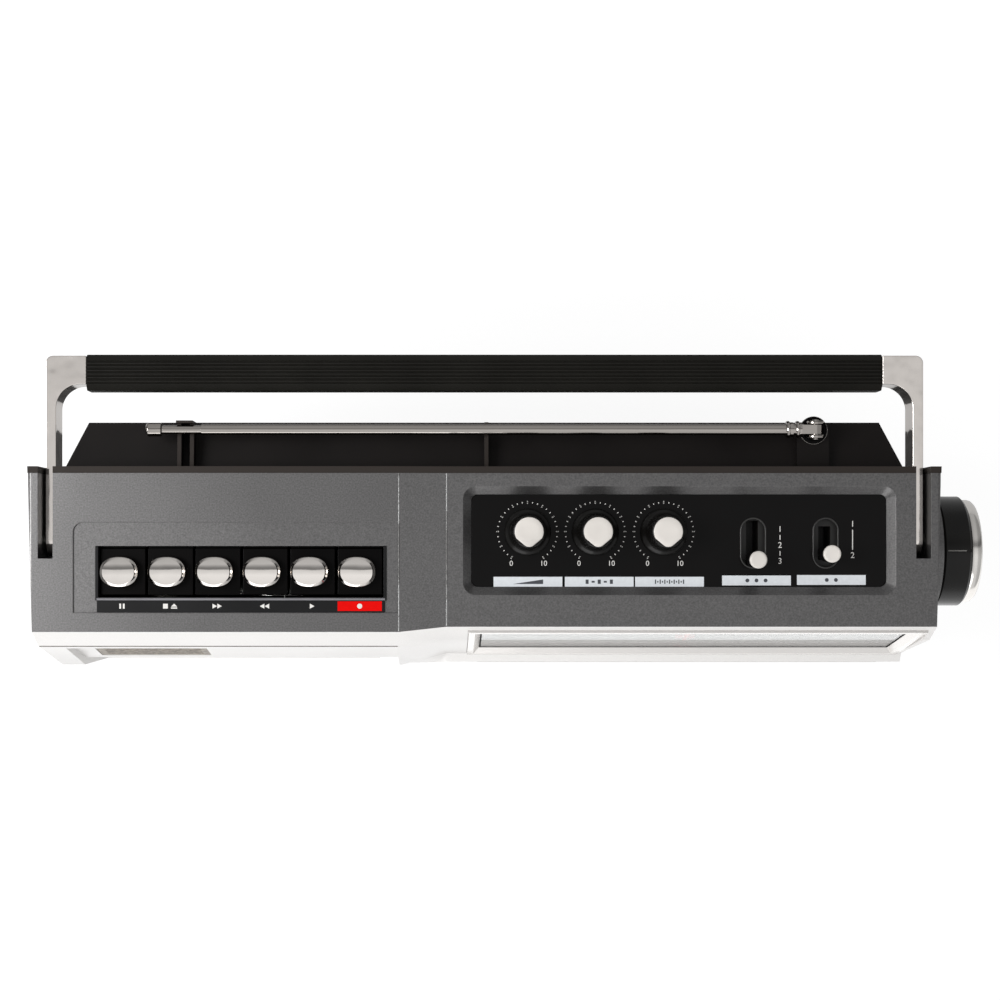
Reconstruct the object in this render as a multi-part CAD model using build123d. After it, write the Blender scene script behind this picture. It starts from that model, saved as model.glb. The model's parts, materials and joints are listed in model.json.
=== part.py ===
from build123d import *
import math
import os

# Portable radio cassette recorder. X to the right, Y to the rear, Z up, in millimetres.
# It is drawn about the middle of the cabinet, standing on its feet at z = 0. When the
# pieces are written, all of them move so that the origin is the middle of the whole
# object's box on that floor, with the handle folded back.

# Cabinet: a sleeve open at the front and at the rear
CABINET_W = 360.0
X_HALF = CABINET_W / 2
SIDE_DRAFT = 1.8          # each side wall draws in by this at the front
BODY_TOP = 222.0          # top of the left shelf above the floor
FOOT_H = 4.0
WALL = 2.6
Y_FRONT = -32.3           # where the left shelf meets the front panel
Y_REAR = 32.9             # rear face of the rear cover's flange
FLANGE = 2.6
STEP_LEFT = -33.8         # the shelf steps down between these two creases
STEP_RIGHT = -15.0
STEP_Z = 1.5
STEP_Y = 2.0
TOP_EDGE_R = 1.6

# Front panel: a strip, a slope and an upright face
STRIP_OUT = 6.0
STRIP_H = 11.0
SEAM = (0.9, 1.3)         # depth and height of the seam under the strip
SLOPE_H = 58.0
FACE_OUT = 16.0
CHIN = 4.0
CHIN_H = 6.0
LIP_H = 62.0              # the ledge under the dial is this far below the shelf
DIAL_OUT = 13.2           # how far the dial's lower edge stands out
RIGHT_BACK = 1.0          # the right face stands back from the left one by this
FIELD_DEPTH = 3.2
FIELD_X = (12.0 - X_HALF, STEP_LEFT - 1.2)
FIELD_TOP = 17.0          # below the shelf
FIELD_FOOT = 58.0         # above the floor

# Rear cover
HUMP_OUT = 18.4
HUMP_ROOT_W = CABINET_W - 24.0
HUMP_END_W = CABINET_W - 43.0
HUMP_DROP_ROOT = 14.1
HUMP_DROP_END = 18.0
REAR_WALL = 2.4

# Handle
HANDLE_X = X_HALF - 7.1   # middle of each arm and of its slot
SLOT_W = 5.8
SLOT_DEPTH = 24.0
SLOT_END = -3.4
ARM_W = 4.2
ARM_H = 13.0
ARM_CORNER_R = 9.5
PIVOT_Y = 4.1
PIVOT_DROP = 17.0
PIVOT_R = 2.5
HANDLE_REACH = 66.8       # pivot to the middle of the grip
GRIP_LEN = 2 * HANDLE_X - 28.2
GRIP_D = 14.4
GRIP_H = 13.4
GRIP_RIBS = 7

# Clearances
FIT = 0.08                # radial, of a shaft in its hole
GAP = 0.4                 # between loose neighbours
SEAT = 0.15               # round an insert in its opening

# Keys
KEY_NAMES = ("pause", "stop", "forward", "rewind", "play", "record")
KEY_RECESS_X0 = 18.0 - X_HALF
KEY_RECESS_R = 4.0
WELL_SIDES = (9.9, 6.1)   # between the recess and the well, on the left and on the right
WELL_X = (KEY_RECESS_X0 + WELL_SIDES[0], STEP_LEFT - WELL_SIDES[1])
KEY_PITCH = (WELL_X[1] - WELL_X[0]) / len(KEY_NAMES)
WELL_Y = (-18.7, 1.5)
SKIRT_T = 1.2             # wall of the frame that lines the well
SKIRT_H = 7.6
SIGN_BAR = 5.9            # how far the bar with the key signs reaches forward
KEY_SHELF = 0.8           # depth of the shallow recess round the keys
KEY_RECESS_Y = (-24.8, 10.9)
KEY_DROP = 3.0            # top of the black key body below the shelf
KEY_BODY_H = 13.0
KEY_ARM_DROP = 2.4
KEY_CAP_MARGIN = 3.4      # how much narrower a cap is than the keys' pitch
KEY_CAP = (KEY_PITCH - KEY_CAP_MARGIN, 12.4, 5.2)
KEY_CAP_SHIFT = -1.2
KEY_CAP_Y = -8.7
KEY_SHAFT_Y = 25.5
KEY_SHAFT_DROP = 5.6
KEY_SHAFT_R = 1.25
KEY_EYE_R = 2.5

# Control recess, knobs and slide switches
RECESS_X = (STEP_RIGHT + 6.4, X_HALF - 18.0)
RECESS_Y = (-17.8, 25.1)
RECESS_DEPTH = 3.0
RECESS_BEVEL = 3.2
RECESS_R = 5.0
PLATE_R = 2.6
PLATE_T = 1.2
PAD_T = 1.8
KNOB_X = {"volume": 16.9, "bass": 43.7, "treble": 70.8}
KNOB_Y = 7.0
KNOB_H = 16.0
KNOB_SKIRT_R = 9.3
KNOB_TOP_R = 6.0
KNOB_CAP_R = 5.6
KNOB_CAP_T = 1.2
POT_R = 8.0
POT_H = 9.0
POT_SHAFT_R = 3.0
SWITCH_X = {"function": 106.2, "band": 134.9}
SWITCH_TRAVEL = {"function": 13.2, "band": 8.6}
SWITCH_Y = 2.7            # middle of both slots
SWITCH_SLOT = (9.4, 19.2)
SLIDER_H = 13.0
SLIDER_R = 3.4
SLIDER_NECK = 4.0

# Board and tuning
BOARD_DROP = 27.0
BOARD_T = 1.6
TUNE_Y = -0.3
TUNE_DROP = 34.0
TUNE_R = 22.4
TUNE_RIM = 12.0
TUNE_CAP = 5.0
TUNE_CAP_R = 21.0
TUNE_SHAFT_R = 3.0
TUNE_SHAFT_END = X_HALF - 52.0
BOSS_OUT = 3.2
BOSS_R = 24.5
BOSS_T = 4.5
GANG = 25.0

# Dial on the right of the front panel
DIAL_X = (STEP_RIGHT + 8.4, X_HALF - 4.4)
DIAL_FRAME = 5.0
DIAL_LIP = 1.9            # how far the window and the scale run under the frame
WINDOW_T = 2.0
WINDOW_BACK = 1.4
SCALE_BACK = 7.0
POINTER_GROOVE = 2.4

# Microphone's grille on the slope of the left field
MIC_X = 43.0 - X_HALF
MIC_DROP = 44.0
MIC_SIZE = (46.0, 20.0)
MIC_SLOTS = 8

# Cassette deck behind the left of the front panel
DECK_X = (20.0 - X_HALF, STEP_LEFT - 9.2)
DOOR_TOP_DROP = 64.0
DOOR_H = 88.0
DOOR_T = 2.4
DOOR_PROUD = 0.8
DOOR_BEVEL = 2.3
HINGE_BACK = 2.6          # door pins behind the door's plate
HINGE_UP = 2.0
DOOR_PIN_R = 1.4
DOOR_WINDOW = (84.0, 36.0)
CASSETTE = (102.4, 63.8, 12.0)
HUB_UP = 29.3             # from the cassette's lower edge to its hubs
HUB_PITCH = 42.5
POCKET_UP = 11.0
WELL_DEPTH = 20.0
LINER_T = 1.6
CAPSTAN_AT = (16.0, 29.2)
ROLLER_UP = 11.1          # roller above the capstan while the deck is at rest
ROLLER_R = 5.9
PIN_R = 1.2

# Loudspeaker
GRILLE_DROP = 71.0        # top of the grille below the shelf
GRILLE_X = (STEP_RIGHT + 13.0, X_HALF - 10.0)
GRILLE_Z = (15.0, BODY_TOP - GRILLE_DROP)
SPEAKER_X = sum(GRILLE_X) / 2
SPEAKER_Z = sum(GRILLE_Z) / 2
SPEAKER_MARGIN = 10.0     # between the basket and the grille's upper and lower edge
SPEAKER_R = (GRILLE_Z[1] - GRILLE_Z[0]) / 2 - SPEAKER_MARGIN
SPEAKER_D = 40.0
GRILLE_T = 5.0
GRILLE_FRAME = 4.0
BAFFLE_T = 2.2
SLATS = 17

# Batteries: two rows of three large cells behind a hinged door
BAY_X = (-100.0, 90.0)
BAY_Z = (15.0, 87.0)
BAY_DEPTH = 35.0
BAY_WALL = 2.0
LID_RIM = 3.6
LID_T = 1.6
LID_PIN_R = 0.7
LID_PIN_BACK = 1.1
LID_PIN_UP = 1.2

# Telescopic antenna, folded along the rear cover
ROD_Y = 47.7
ROD_DROP = 7.2
HINGE_X = X_HALF - 48.7
ROD_R = (2.25, 1.8, 1.35)
ROD_FIT = 0.15
TUBE_END = 67.7 - X_HALF
SECTION_END = TUBE_END - 15.6
TIP_END = SECTION_END - 6.4
CLIP_X = TUBE_END - 10.0  # left rib of the clip that holds the folded rod
TIP_R = 2.8
EAR_R = 3.4
TONGUE_T = 3.6
BASE_DROP = 4.8

# Feet, screws, inlet and vents
FOOT_R = 8.0
FOOT_IN = ((30.0, -20.0), (40.0, 37.0))    # in from each side, and Y, in front and behind
FOOT_AT = [(side * (X_HALF - x), y) for x, y in FOOT_IN for side in (-1, 1)]
SCREW_R = 3.2
SHANK_R = 1.5
POCKET = 5.0
SCREW_IN = 28.0           # in from each side
SCREW_UP = (16.0, 14.0)   # above the floor, and below the hump's roof
INLET_AT = (44.0 - X_HALF, 108.0)
INLET = (24.0, 16.0, 15.6)
VENTS = 9
VENT_X0 = 60.0
VENT = (3.0, 35.0)        # width and height of a slot
VENT_PITCH = 8.0
VENT_DROP = 39.0          # top of the slots below the hump's roof

# Places worked out from the sizes above
Y_FACE = Y_FRONT - FACE_OUT
Y_HUMP = Y_REAR + HUMP_OUT
Y_JOIN = Y_REAR - FLANGE
Y_STRIP = Y_FRONT - STRIP_OUT
RIGHT_TOP = BODY_TOP - STEP_Z
ROOF = BODY_TOP - HUMP_DROP_END
KEY_SHAFT_Z = BODY_TOP - KEY_SHAFT_DROP
PLATE_TOP = RIGHT_TOP - RECESS_DEPTH
PAD_FOOT = PLATE_TOP - PLATE_T - PAD_T
BOARD_TOP = BODY_TOP - BOARD_DROP
TUNE_Z = BODY_TOP - TUNE_DROP
KNOB_REACH = X_HALF + BOSS_OUT + TUNE_RIM + TUNE_CAP
PIVOT_Z = BODY_TOP - PIVOT_DROP
PIVOT_X = (HANDLE_X - SLOT_W / 2 - WALL, X_HALF - WALL - 0.2)
GRIP_Y = PIVOT_Y + HANDLE_REACH
ROD_Z = BODY_TOP - ROD_DROP
BASE_Z = ROD_Z - BASE_DROP
FIELD_WALL = Y_FACE + FIELD_DEPTH
LINER_FRONT = FIELD_WALL + WALL
DOOR_TOP = BODY_TOP - DOOR_TOP_DROP
DOOR_FOOT = DOOR_TOP - DOOR_H
DOOR_FACE = FIELD_WALL - DOOR_PROUD
DOOR_BACK = DOOR_FACE + DOOR_T
DOOR_HINGE = (DOOR_BACK + HINGE_BACK, DOOR_FOOT + HINGE_UP)
DECK_MID = (DECK_X[0] + DECK_X[1]) / 2
DECK_BACK = DOOR_BACK + WELL_DEPTH
REEL_Z = DOOR_FOOT + POCKET_UP + HUB_UP
REEL_X = (DECK_MID - HUB_PITCH / 2, DECK_MID + HUB_PITCH / 2)
CAPSTAN_X = DECK_MID + CAPSTAN_AT[0]
CAPSTAN_Z = REEL_Z + CAPSTAN_AT[1]
ROLLER_Z = CAPSTAN_Z + ROLLER_UP
GRILLE_BACK = Y_FACE + RIGHT_BACK - 0.6 + GRILLE_T
SPEAKER_Y = GRILLE_BACK + GAP + BAFFLE_T
SCREW_AT = [(side * (X_HALF - SCREW_IN), z) for z in (SCREW_UP[0], ROOF - SCREW_UP[1]) for side in (-1, 1)]
VENT_Z = (ROOF - VENT_DROP - VENT[1], ROOF - VENT_DROP)
BAY_Y = (Y_HUMP - REAR_WALL - BAY_DEPTH, Y_HUMP - REAR_WALL)
LID_HINGE = (Y_HUMP - LID_PIN_BACK, BAY_Z[0] - LID_RIM + LID_PIN_UP)
ORIGIN_X = (KNOB_REACH - X_HALF) / 2
ORIGIN_Y = (GRIP_Y + GRIP_D / 2 + Y_FACE) / 2


def block(x, y, z):
    """A box between two places on each axis."""
    middle = [(a[0] + a[1]) / 2 for a in (x, y, z)]
    return Pos(*middle) * Box(x[1] - x[0], y[1] - y[0], z[1] - z[0])


def wider(span, by):
    """A span grown by the same amount at both ends."""
    return (span[0] - by, span[1] + by)


def about(middle, size):
    return (middle - size / 2, middle + size / 2)


def across(points, x0, x1):
    """A side outline, given as (Y, Z), drawn out along X."""
    face = make_face(Polyline(*[(x0, y, z) for y, z in points], close=True))
    return extrude(face, x1 - x0, dir=(1, 0, 0))


def along(points, y0, y1):
    """A front outline, given as (X, Z), drawn out along Y."""
    face = make_face(Polyline(*[(x, y0, z) for x, z in points], close=True))
    return extrude(face, y1 - y0, dir=(0, 1, 0))


def upright(points, z0, z1):
    """A plan outline, given as (X, Y), drawn up along Z."""
    face = make_face(Polyline(*[(x, y, z0) for x, y in points], close=True))
    return extrude(face, z1 - z0, dir=(0, 0, 1))


def shaft_x(y, z, r, x0, x1):
    return Pos((x0 + x1) / 2, y, z) * Rot(0, 90, 0) * Cylinder(r, x1 - x0)


def shaft_y(x, z, r, y0, y1):
    return Pos(x, (y0 + y1) / 2, z) * Rot(90, 0, 0) * Cylinder(r, y1 - y0)


def shaft_z(x, y, r, z0, z1):
    return Pos(x, y, (z0 + z1) / 2) * Cylinder(r, z1 - z0)


def turned(profile, place):
    """A profile of (radius, height) turned about Z and put in place."""
    face = make_face(Polyline(*[(r, 0, h) for r, h in profile], close=True))
    return place * revolve(face, Axis.Z)


# Outlines that the cabinet, the front panel and the rear cover share

def half_width(y):
    """Half the width between the tapered sides at a depth."""
    return X_HALF - SIDE_DRAFT * (Y_REAR - y) / (Y_REAR - Y_FRONT)


def end_outline(inset=0.0):
    """Outline seen from the front: the left shelf stands above the right one."""
    low = FOOT_H + inset
    left = BODY_TOP - inset
    right = RIGHT_TOP - inset
    half = X_HALF - inset
    return [(-half, low), (half, low), (half, right), (STEP_RIGHT, right), (STEP_LEFT, left), (-half, left)]


def plan_prism(y_front, y_rear, inset=0.0, step=0.0):
    """Tapered plan of the body, from the floor to above the shelf."""
    front = half_width(y_front) - inset
    rear = half_width(y_rear) - inset
    plan = [(-rear, y_rear), (rear, y_rear), (front, y_front + step), (STEP_RIGHT, y_front + step),
            (STEP_LEFT, y_front), (-front, y_front)]
    return upright(plan, 0, BODY_TOP + 10)


def left_profile(back=0.0):
    """Side outline of the left of the front panel, moved back by an amount."""
    face = Y_FACE + back
    return [(Y_FRONT, FOOT_H), (Y_FRONT, BODY_TOP), (Y_STRIP + back, BODY_TOP - STRIP_H),
            (face, BODY_TOP - SLOPE_H), (face, BODY_TOP - LIP_H - 8), (face, FOOT_H + CHIN_H),
            (face + CHIN, FOOT_H)]


def right_profile():
    """Side outline of the right of the front panel, with the ledge under the dial."""
    top_y = Y_FRONT + STEP_Y
    face = Y_FACE + RIGHT_BACK
    return [(top_y, FOOT_H), (top_y, RIGHT_TOP), (top_y - STRIP_OUT + 0.4, RIGHT_TOP - STRIP_H),
            (top_y - DIAL_OUT, BODY_TOP - SLOPE_H - 1.5), (face, BODY_TOP - LIP_H),
            (face, FOOT_H + CHIN_H), (face + CHIN, FOOT_H)]


# Plane of the dial: x to the right, y up the slope, z outwards, origin in its middle
DIAL_TOP = (Y_FRONT + STEP_Y - 1.6, RIGHT_TOP - 3.0)
DIAL_FOOT = (Y_FRONT + STEP_Y - DIAL_OUT + 0.4, BODY_TOP - SLOPE_H)
DIAL_TILT = math.atan2(DIAL_TOP[0] - DIAL_FOOT[0], DIAL_TOP[1] - DIAL_FOOT[1])
DIAL_HALF = ((DIAL_X[1] - DIAL_X[0]) / 2, math.dist(DIAL_TOP, DIAL_FOOT) / 2)
DIAL_INNER = (DIAL_HALF[0] - SEAT - DIAL_FRAME, DIAL_HALF[1] - SEAT - DIAL_FRAME)
GROOVE_Y = (6.0 - DIAL_INNER[1], 6.0 - DIAL_INNER[1] + POINTER_GROOVE)
DIAL = Plane(
    origin=(sum(DIAL_X) / 2, (DIAL_TOP[0] + DIAL_FOOT[0]) / 2, (DIAL_TOP[1] + DIAL_FOOT[1]) / 2),
    x_dir=(1, 0, 0),
    z_dir=(0, -math.cos(DIAL_TILT), math.sin(DIAL_TILT)),
)

# Plane of the left field's slope at the microphone's grille
FIELD_SLOPE = (FACE_OUT - STRIP_OUT) / (SLOPE_H - STRIP_H)
FIELD_TILT = math.atan(FIELD_SLOPE)
MIC = Plane(
    origin=(MIC_X, Y_STRIP + FIELD_DEPTH - (MIC_DROP - STRIP_H) * FIELD_SLOPE, BODY_TOP - MIC_DROP),
    x_dir=(1, 0, 0),
    z_dir=(0, -math.cos(FIELD_TILT), math.sin(FIELD_TILT)),
)


def panel_of(half, z, by=0.0):
    """A flat plate about a tilted plane's origin, half being its half width and height."""
    return block((-half[0] - by, half[0] + by), (-half[1] - by, half[1] + by), z)


def slot_cut(side, y_end):
    """The slot that a handle arm swings in, open at the top and at the rear."""
    z = (BODY_TOP - SLOT_DEPTH, BODY_TOP + 10)
    return block(about(side * HANDLE_X, SLOT_W), (y_end, Y_REAR + 30), z)


def recess_plan(inset, r, z):
    """Rounded plan of the control recess, drawn in by an amount, at a height."""
    w = RECESS_X[1] - RECESS_X[0] - 2 * inset
    d = RECESS_Y[1] - RECESS_Y[0] - 2 * inset
    return Pos(sum(RECESS_X) / 2, sum(RECESS_Y) / 2, z) * RectangleRounded(w, d, r)


def control_holes(foot, top, by=0.0):
    """Round holes for the knobs' shafts and long ones for the sliders."""
    cut = Part()
    for x in KNOB_X.values():
        cut += shaft_z(x, KNOB_Y, POT_SHAFT_R + 0.6 + by, foot, top)
    w, length = SWITCH_SLOT
    for x in SWITCH_X.values():
        hole = SlotOverall(length + 2 * by, w + 2 * by, rotation=90)
        cut += Pos(x, SWITCH_Y, foot) * extrude(hole, top - foot)
    return cut


def cabinet():
    """Grey sleeve: shelf with its creases, sides, floor and both handle slots."""
    outer = along(end_outline(), Y_FACE, Y_JOIN)
    ridges = [e for e in outer.edges().filter_by(Axis.Y) if e.center().Z > BODY_TOP - 10]
    outer = fillet([e for e in ridges if abs(e.center().X) > X_HALF - 10], TOP_EDGE_R)
    plan = plan_prism(Y_FRONT, Y_JOIN, step=STEP_Y)
    inner = along(end_outline(WALL), Y_FACE, Y_REAR) & plan_prism(Y_FRONT - 5, Y_REAR + 5, WALL)
    shell = (outer & plan) - inner
    for side in (-1, 1):
        x = sorted((side * (HANDLE_X - SLOT_W / 2 - WALL), side * (X_HALF - 0.5)))
        z = (BODY_TOP - SLOT_DEPTH - WALL, BODY_TOP - STEP_Z - 1)
        shell += block(x, (SLOT_END - WALL, Y_JOIN), z) & plan
        shell -= slot_cut(side, SLOT_END)
        shell -= shaft_x(PIVOT_Y, PIVOT_Z, PIVOT_R, *sorted(side * x for x in PIVOT_X))
    return key_opening(control_opening(knob_boss(shell)))


def key_opening(shell):
    """Shallow recess and well for the keys, with the ears that hold their shaft."""
    recess = block((KEY_RECESS_X0, STEP_LEFT), KEY_RECESS_Y, (BODY_TOP - KEY_SHELF, BODY_TOP + 5))
    shell -= fillet(recess.edges().filter_by(Axis.Z).group_by(Axis.X)[0].sort_by(Axis.Y)[-1], KEY_RECESS_R)
    well_y = (WELL_Y[0] - SKIRT_T, WELL_Y[1])
    shell -= block(wider(WELL_X, SKIRT_T), well_y, (BODY_TOP - 8, BODY_TOP + 5))
    for x in (WELL_X[0] - 2.4, WELL_X[1] + 0.4):
        ear = block((x, x + 2), about(KEY_SHAFT_Y, 8), (KEY_SHAFT_Z - 4, BODY_TOP - WALL / 2))
        shell += ear - shaft_x(KEY_SHAFT_Y, KEY_SHAFT_Z, KEY_SHAFT_R, x - 1, x + 3)
    return shell


def control_opening(shell):
    """Recess with a sloping rim, over a pad that carries the control plate."""
    pad = extrude(recess_plan(-1.0, RECESS_R, PAD_FOOT), RIGHT_TOP - WALL / 2 - PAD_FOOT)
    rim = loft([recess_plan(RECESS_BEVEL, PLATE_R, PLATE_TOP), recess_plan(0, RECESS_R, RIGHT_TOP + 0.01)])
    seat = extrude(recess_plan(RECESS_BEVEL, PLATE_R, PLATE_TOP - PLATE_T), PLATE_T + 0.01)
    return shell + pad - rim - seat - control_holes(PAD_FOOT - 1, PLATE_TOP, GAP)


def knob_boss(shell):
    """Raised ring round the tuning knob and a long bearing for its shaft."""
    face = X_HALF + BOSS_OUT
    shell += shaft_x(TUNE_Y, TUNE_Z, BOSS_R, X_HALF - WALL, face)
    shell -= shaft_x(TUNE_Y, TUNE_Z, BOSS_R - BOSS_T, X_HALF + 0.6, face + 1)
    shell += shaft_x(TUNE_Y, TUNE_Z, TUNE_SHAFT_R + 2.4, X_HALF - 12, X_HALF + 0.6)
    return shell - shaft_x(TUNE_Y, TUNE_Z, TUNE_SHAFT_R + FIT, X_HALF - 14, face)


def front_blank():
    """The whole front panel before its openings: left, slanting middle and right."""
    left = across(left_profile(), -X_HALF, STEP_LEFT)
    right = across(right_profile(), STEP_RIGHT, X_HALF)
    ends = [(STEP_LEFT, left_profile()), (STEP_RIGHT, right_profile())]
    faces = [make_face(Polyline(*[(x, y, z) for y, z in points], close=True)) for x, points in ends]
    return left + loft(faces, ruled=True) + right


def front_hollows():
    """The space behind the front panel's wall, on the left and on the right."""
    low = FOOT_H + WALL
    back = LINER_FRONT
    left = [(Y_FRONT + 1, low), (Y_FRONT + 1, BODY_TOP - WALL - 3), (back, BODY_TOP - SLOPE_H), (back, low)]
    top_y = Y_FRONT + STEP_Y
    face = Y_FACE + RIGHT_BACK + WALL
    right = [(Y_FRONT + 3, low), (Y_FRONT + 3, RIGHT_TOP - WALL),
             (top_y - DIAL_OUT + WALL + 1.4, BODY_TOP - SLOPE_H), (face, BODY_TOP - SLOPE_H - 9), (face, low)]
    end = X_HALF - WALL - 3
    return across(left, -end, STEP_LEFT) + across(right, STEP_LEFT, end)


def front_panel():
    """Silver front: strip and seam on top, field for the deck, openings for dial and grille."""
    panel = (front_blank() & plan_prism(Y_FACE - 1, Y_REAR)) - front_hollows()
    seam_z = BODY_TOP - STRIP_H
    panel -= block((-X_HALF, STEP_LEFT), (Y_STRIP - 3, Y_STRIP + SEAM[0]), (seam_z - SEAM[1], seam_z))
    # Field that stands back round the deck, following the slope above it
    field_top = BODY_TOP - FIELD_TOP
    slope_y = Y_STRIP + FIELD_DEPTH - (FIELD_TOP - STRIP_H) * FIELD_SLOPE
    field = [(Y_FACE - 5, FIELD_FOOT), (Y_FACE - 5, field_top), (slope_y, field_top),
             (FIELD_WALL, BODY_TOP - SLOPE_H), (FIELD_WALL, FIELD_FOOT)]
    panel -= across(field, *FIELD_X)
    panel -= block(wider(DECK_X, GAP), (Y_FACE - 5, Y_FRONT + 5), (DOOR_FOOT - 1.5, DOOR_TOP + GAP))
    panel -= MIC.location * panel_of((MIC_SIZE[0] / 2, MIC_SIZE[1] / 2), (-12, 5))
    panel -= DIAL.location * panel_of(DIAL_HALF, (-20, 6))
    # Tray for the grille, with the round hole that the cone looks through
    tray_y = (Y_FACE + RIGHT_BACK + 1, SPEAKER_Y)
    panel += block(wider(GRILLE_X, 2), tray_y, wider(GRILLE_Z, 2))
    panel -= block(GRILLE_X, (Y_FACE - 5, SPEAKER_Y - BAFFLE_T), GRILLE_Z)
    panel -= shaft_y(SPEAKER_X, SPEAKER_Z, SPEAKER_R - 3, Y_FACE, SPEAKER_Y + 1)
    # Ears that carry the cassette door
    y, z = DOOR_HINGE
    for x in (DECK_X[0] - GAP - 2.8, DECK_X[1] + GAP):
        panel += block((x, x + 2.8), (FIELD_WALL + 1, y + 3), (z - 4, z + 4))
        panel -= shaft_x(y, z, DOOR_PIN_R + FIT, x - 0.1, x + 2.9)
    return panel


def hump(y_front, inset=0.0):
    """Rear cover's hump: sloping roof, bevelled foot, drawn in towards the rear."""
    end = Y_HUMP - inset
    root_z = BODY_TOP - HUMP_DROP_ROOT - inset
    side = [(y_front, FOOT_H + inset), (end - 5, FOOT_H + inset), (end, FOOT_H + 5 + inset / 2),
            (end, ROOF - inset), (y_front, root_z)]
    root_x = HUMP_ROOT_W / 2 - inset
    end_x = HUMP_END_W / 2 - inset
    plan = [(-root_x, y_front - 1), (root_x, y_front - 1), (root_x, Y_REAR), (end_x, Y_HUMP + 1),
            (-end_x, Y_HUMP + 1), (-root_x, Y_REAR)]
    return across(side, -X_HALF, X_HALF) & upright(plan, 0, BODY_TOP)


def rear_cover():
    """Black rear: a flange that closes the sleeve, and a hump for batteries and antenna."""
    flange = along(end_outline(), Y_JOIN, Y_REAR) & plan_prism(Y_JOIN, Y_REAR)
    cover = flange + hump(Y_JOIN) - hump(Y_JOIN - 1, REAR_WALL)
    for side in (-1, 1):
        cover -= slot_cut(side, Y_JOIN - 5)
    # Opening of the battery bay, its sunk rim, and the hinge's relief at the foot
    cover -= block(BAY_X, (Y_JOIN, Y_HUMP + 1), BAY_Z)
    rim_z = (BAY_Z[0] - LID_RIM - 0.8, BAY_Z[1] + LID_RIM + GAP)
    rim_x = wider(BAY_X, LID_RIM + GAP)
    cover -= block(rim_x, (Y_HUMP - 1.4, Y_HUMP + 1), rim_z)
    cover -= block(rim_x, (Y_HUMP - REAR_WALL, Y_HUMP + 1), (rim_z[0], BAY_Z[0]))
    cover -= shaft_x(*LID_HINGE, LID_PIN_R + FIT, *wider(BAY_X, LID_RIM + 2.4))
    # Pad and posts for the antenna, and the ribs that steady it
    cover += block(about(HINGE_X, 12.8), (Y_REAR, Y_HUMP - 0.6), (ROOF - 1, BASE_Z))
    rib_top = ROD_Z - ROD_R[0] - GAP
    for x in (CLIP_X, CLIP_X + 5.0, 0.0):
        rib = [(Y_REAR - 0.5, ROOF - 1), (Y_REAR - 0.5, ROOF + 9), (ROD_Y - 6.5, rib_top),
               (ROD_Y + 3.2, rib_top), (ROD_Y + 3.2, ROOF - 1)]
        cover += across(rib, x, x + 1.6)
    cover += block((CLIP_X, CLIP_X + 6.6), (ROD_Y + ROD_R[0] + GAP, Y_HUMP), (ROOF - 1, ROD_Z + 1.6))
    # Screw pockets in square bosses that reach forward to the flange
    for x, z in SCREW_AT:
        cover += block(about(x, 2 * SCREW_R + 4.4), (Y_REAR - 2, Y_HUMP - 0.5), about(z, 2 * SCREW_R + 4.4))
        cover -= shaft_y(x, z, SCREW_R + GAP, Y_HUMP - POCKET, Y_HUMP + 1)
        cover -= shaft_y(x, z, SHANK_R, Y_REAR - 4, Y_HUMP)
    # Slots that let warm air out, and the inlet's opening
    for i in range(VENTS):
        x = VENT_X0 + VENT_PITCH * i
        cover -= block((x, x + VENT[0]), (Y_HUMP - 5, Y_HUMP + 1), VENT_Z)
    x, z = INLET_AT
    return cover - block(about(x, INLET[0]), (Y_HUMP - 5, Y_HUMP + 1), about(z, INLET[1]))


def battery_box():
    """Tray behind the battery door, with a low shelf between the two rows."""
    outer = block(wider(BAY_X, BAY_WALL), (BAY_Y[0] - BAY_WALL, BAY_Y[1]), wider(BAY_Z, BAY_WALL))
    tray = outer - block(BAY_X, (BAY_Y[0], BAY_Y[1] + 1), BAY_Z)
    return tray + block(BAY_X, (BAY_Y[0] - 1, BAY_Y[0] + 7), about(sum(BAY_Z) / 2, 1.6))


def battery_contacts():
    """Bent leaf springs at both ends of each row."""
    leaves = []
    y = sum(BAY_Y) / 2
    t, bow = 0.4, 3.4
    for z in ((BAY_Z[0] * 3 + BAY_Z[1]) / 4, (BAY_Z[0] + BAY_Z[1] * 3) / 4):
        for x, way in ((BAY_X[0], 1), (BAY_X[1], -1)):
            near, far = x + way * t, x + way * bow
            leaf = [(x, y - 8), (x, y + 8), (near, y + 8), (near, y + 5), (far, y + 1.5),
                    (far, y - 1.5), (near, y - 5), (near, y - 8)]
            leaves.append(upright(leaf, z - 6, z + 6))
    return leaves


def battery_door():
    """Lid with finger ridges outside, a latch bar inside, and a hinge bead at its foot."""
    y = (Y_HUMP - 1.3, Y_HUMP - 1.3 + LID_T)
    lid = block(wider(BAY_X, LID_RIM), y, wider(BAY_Z, LID_RIM))
    foot = lid.edges().filter_by(Axis.X).group_by(Axis.Z)[0]
    lid = chamfer(foot.sort_by(Axis.Y)[-1], 0.8)
    for i in range(5):
        z = BAY_Z[1] - 8 - 3 * i
        lid += block(about(sum(BAY_X) / 2, 26), (y[0], y[1] + 0.6), (z, z + 1.2))
    lid += block(wider(BAY_X, -3), (y[0] - 1.6, y[1]), (BAY_Z[1] - 3.2, BAY_Z[1] - 1.6))
    return lid + shaft_x(*LID_HINGE, LID_PIN_R, *wider(BAY_X, LID_RIM + 2))


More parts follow.
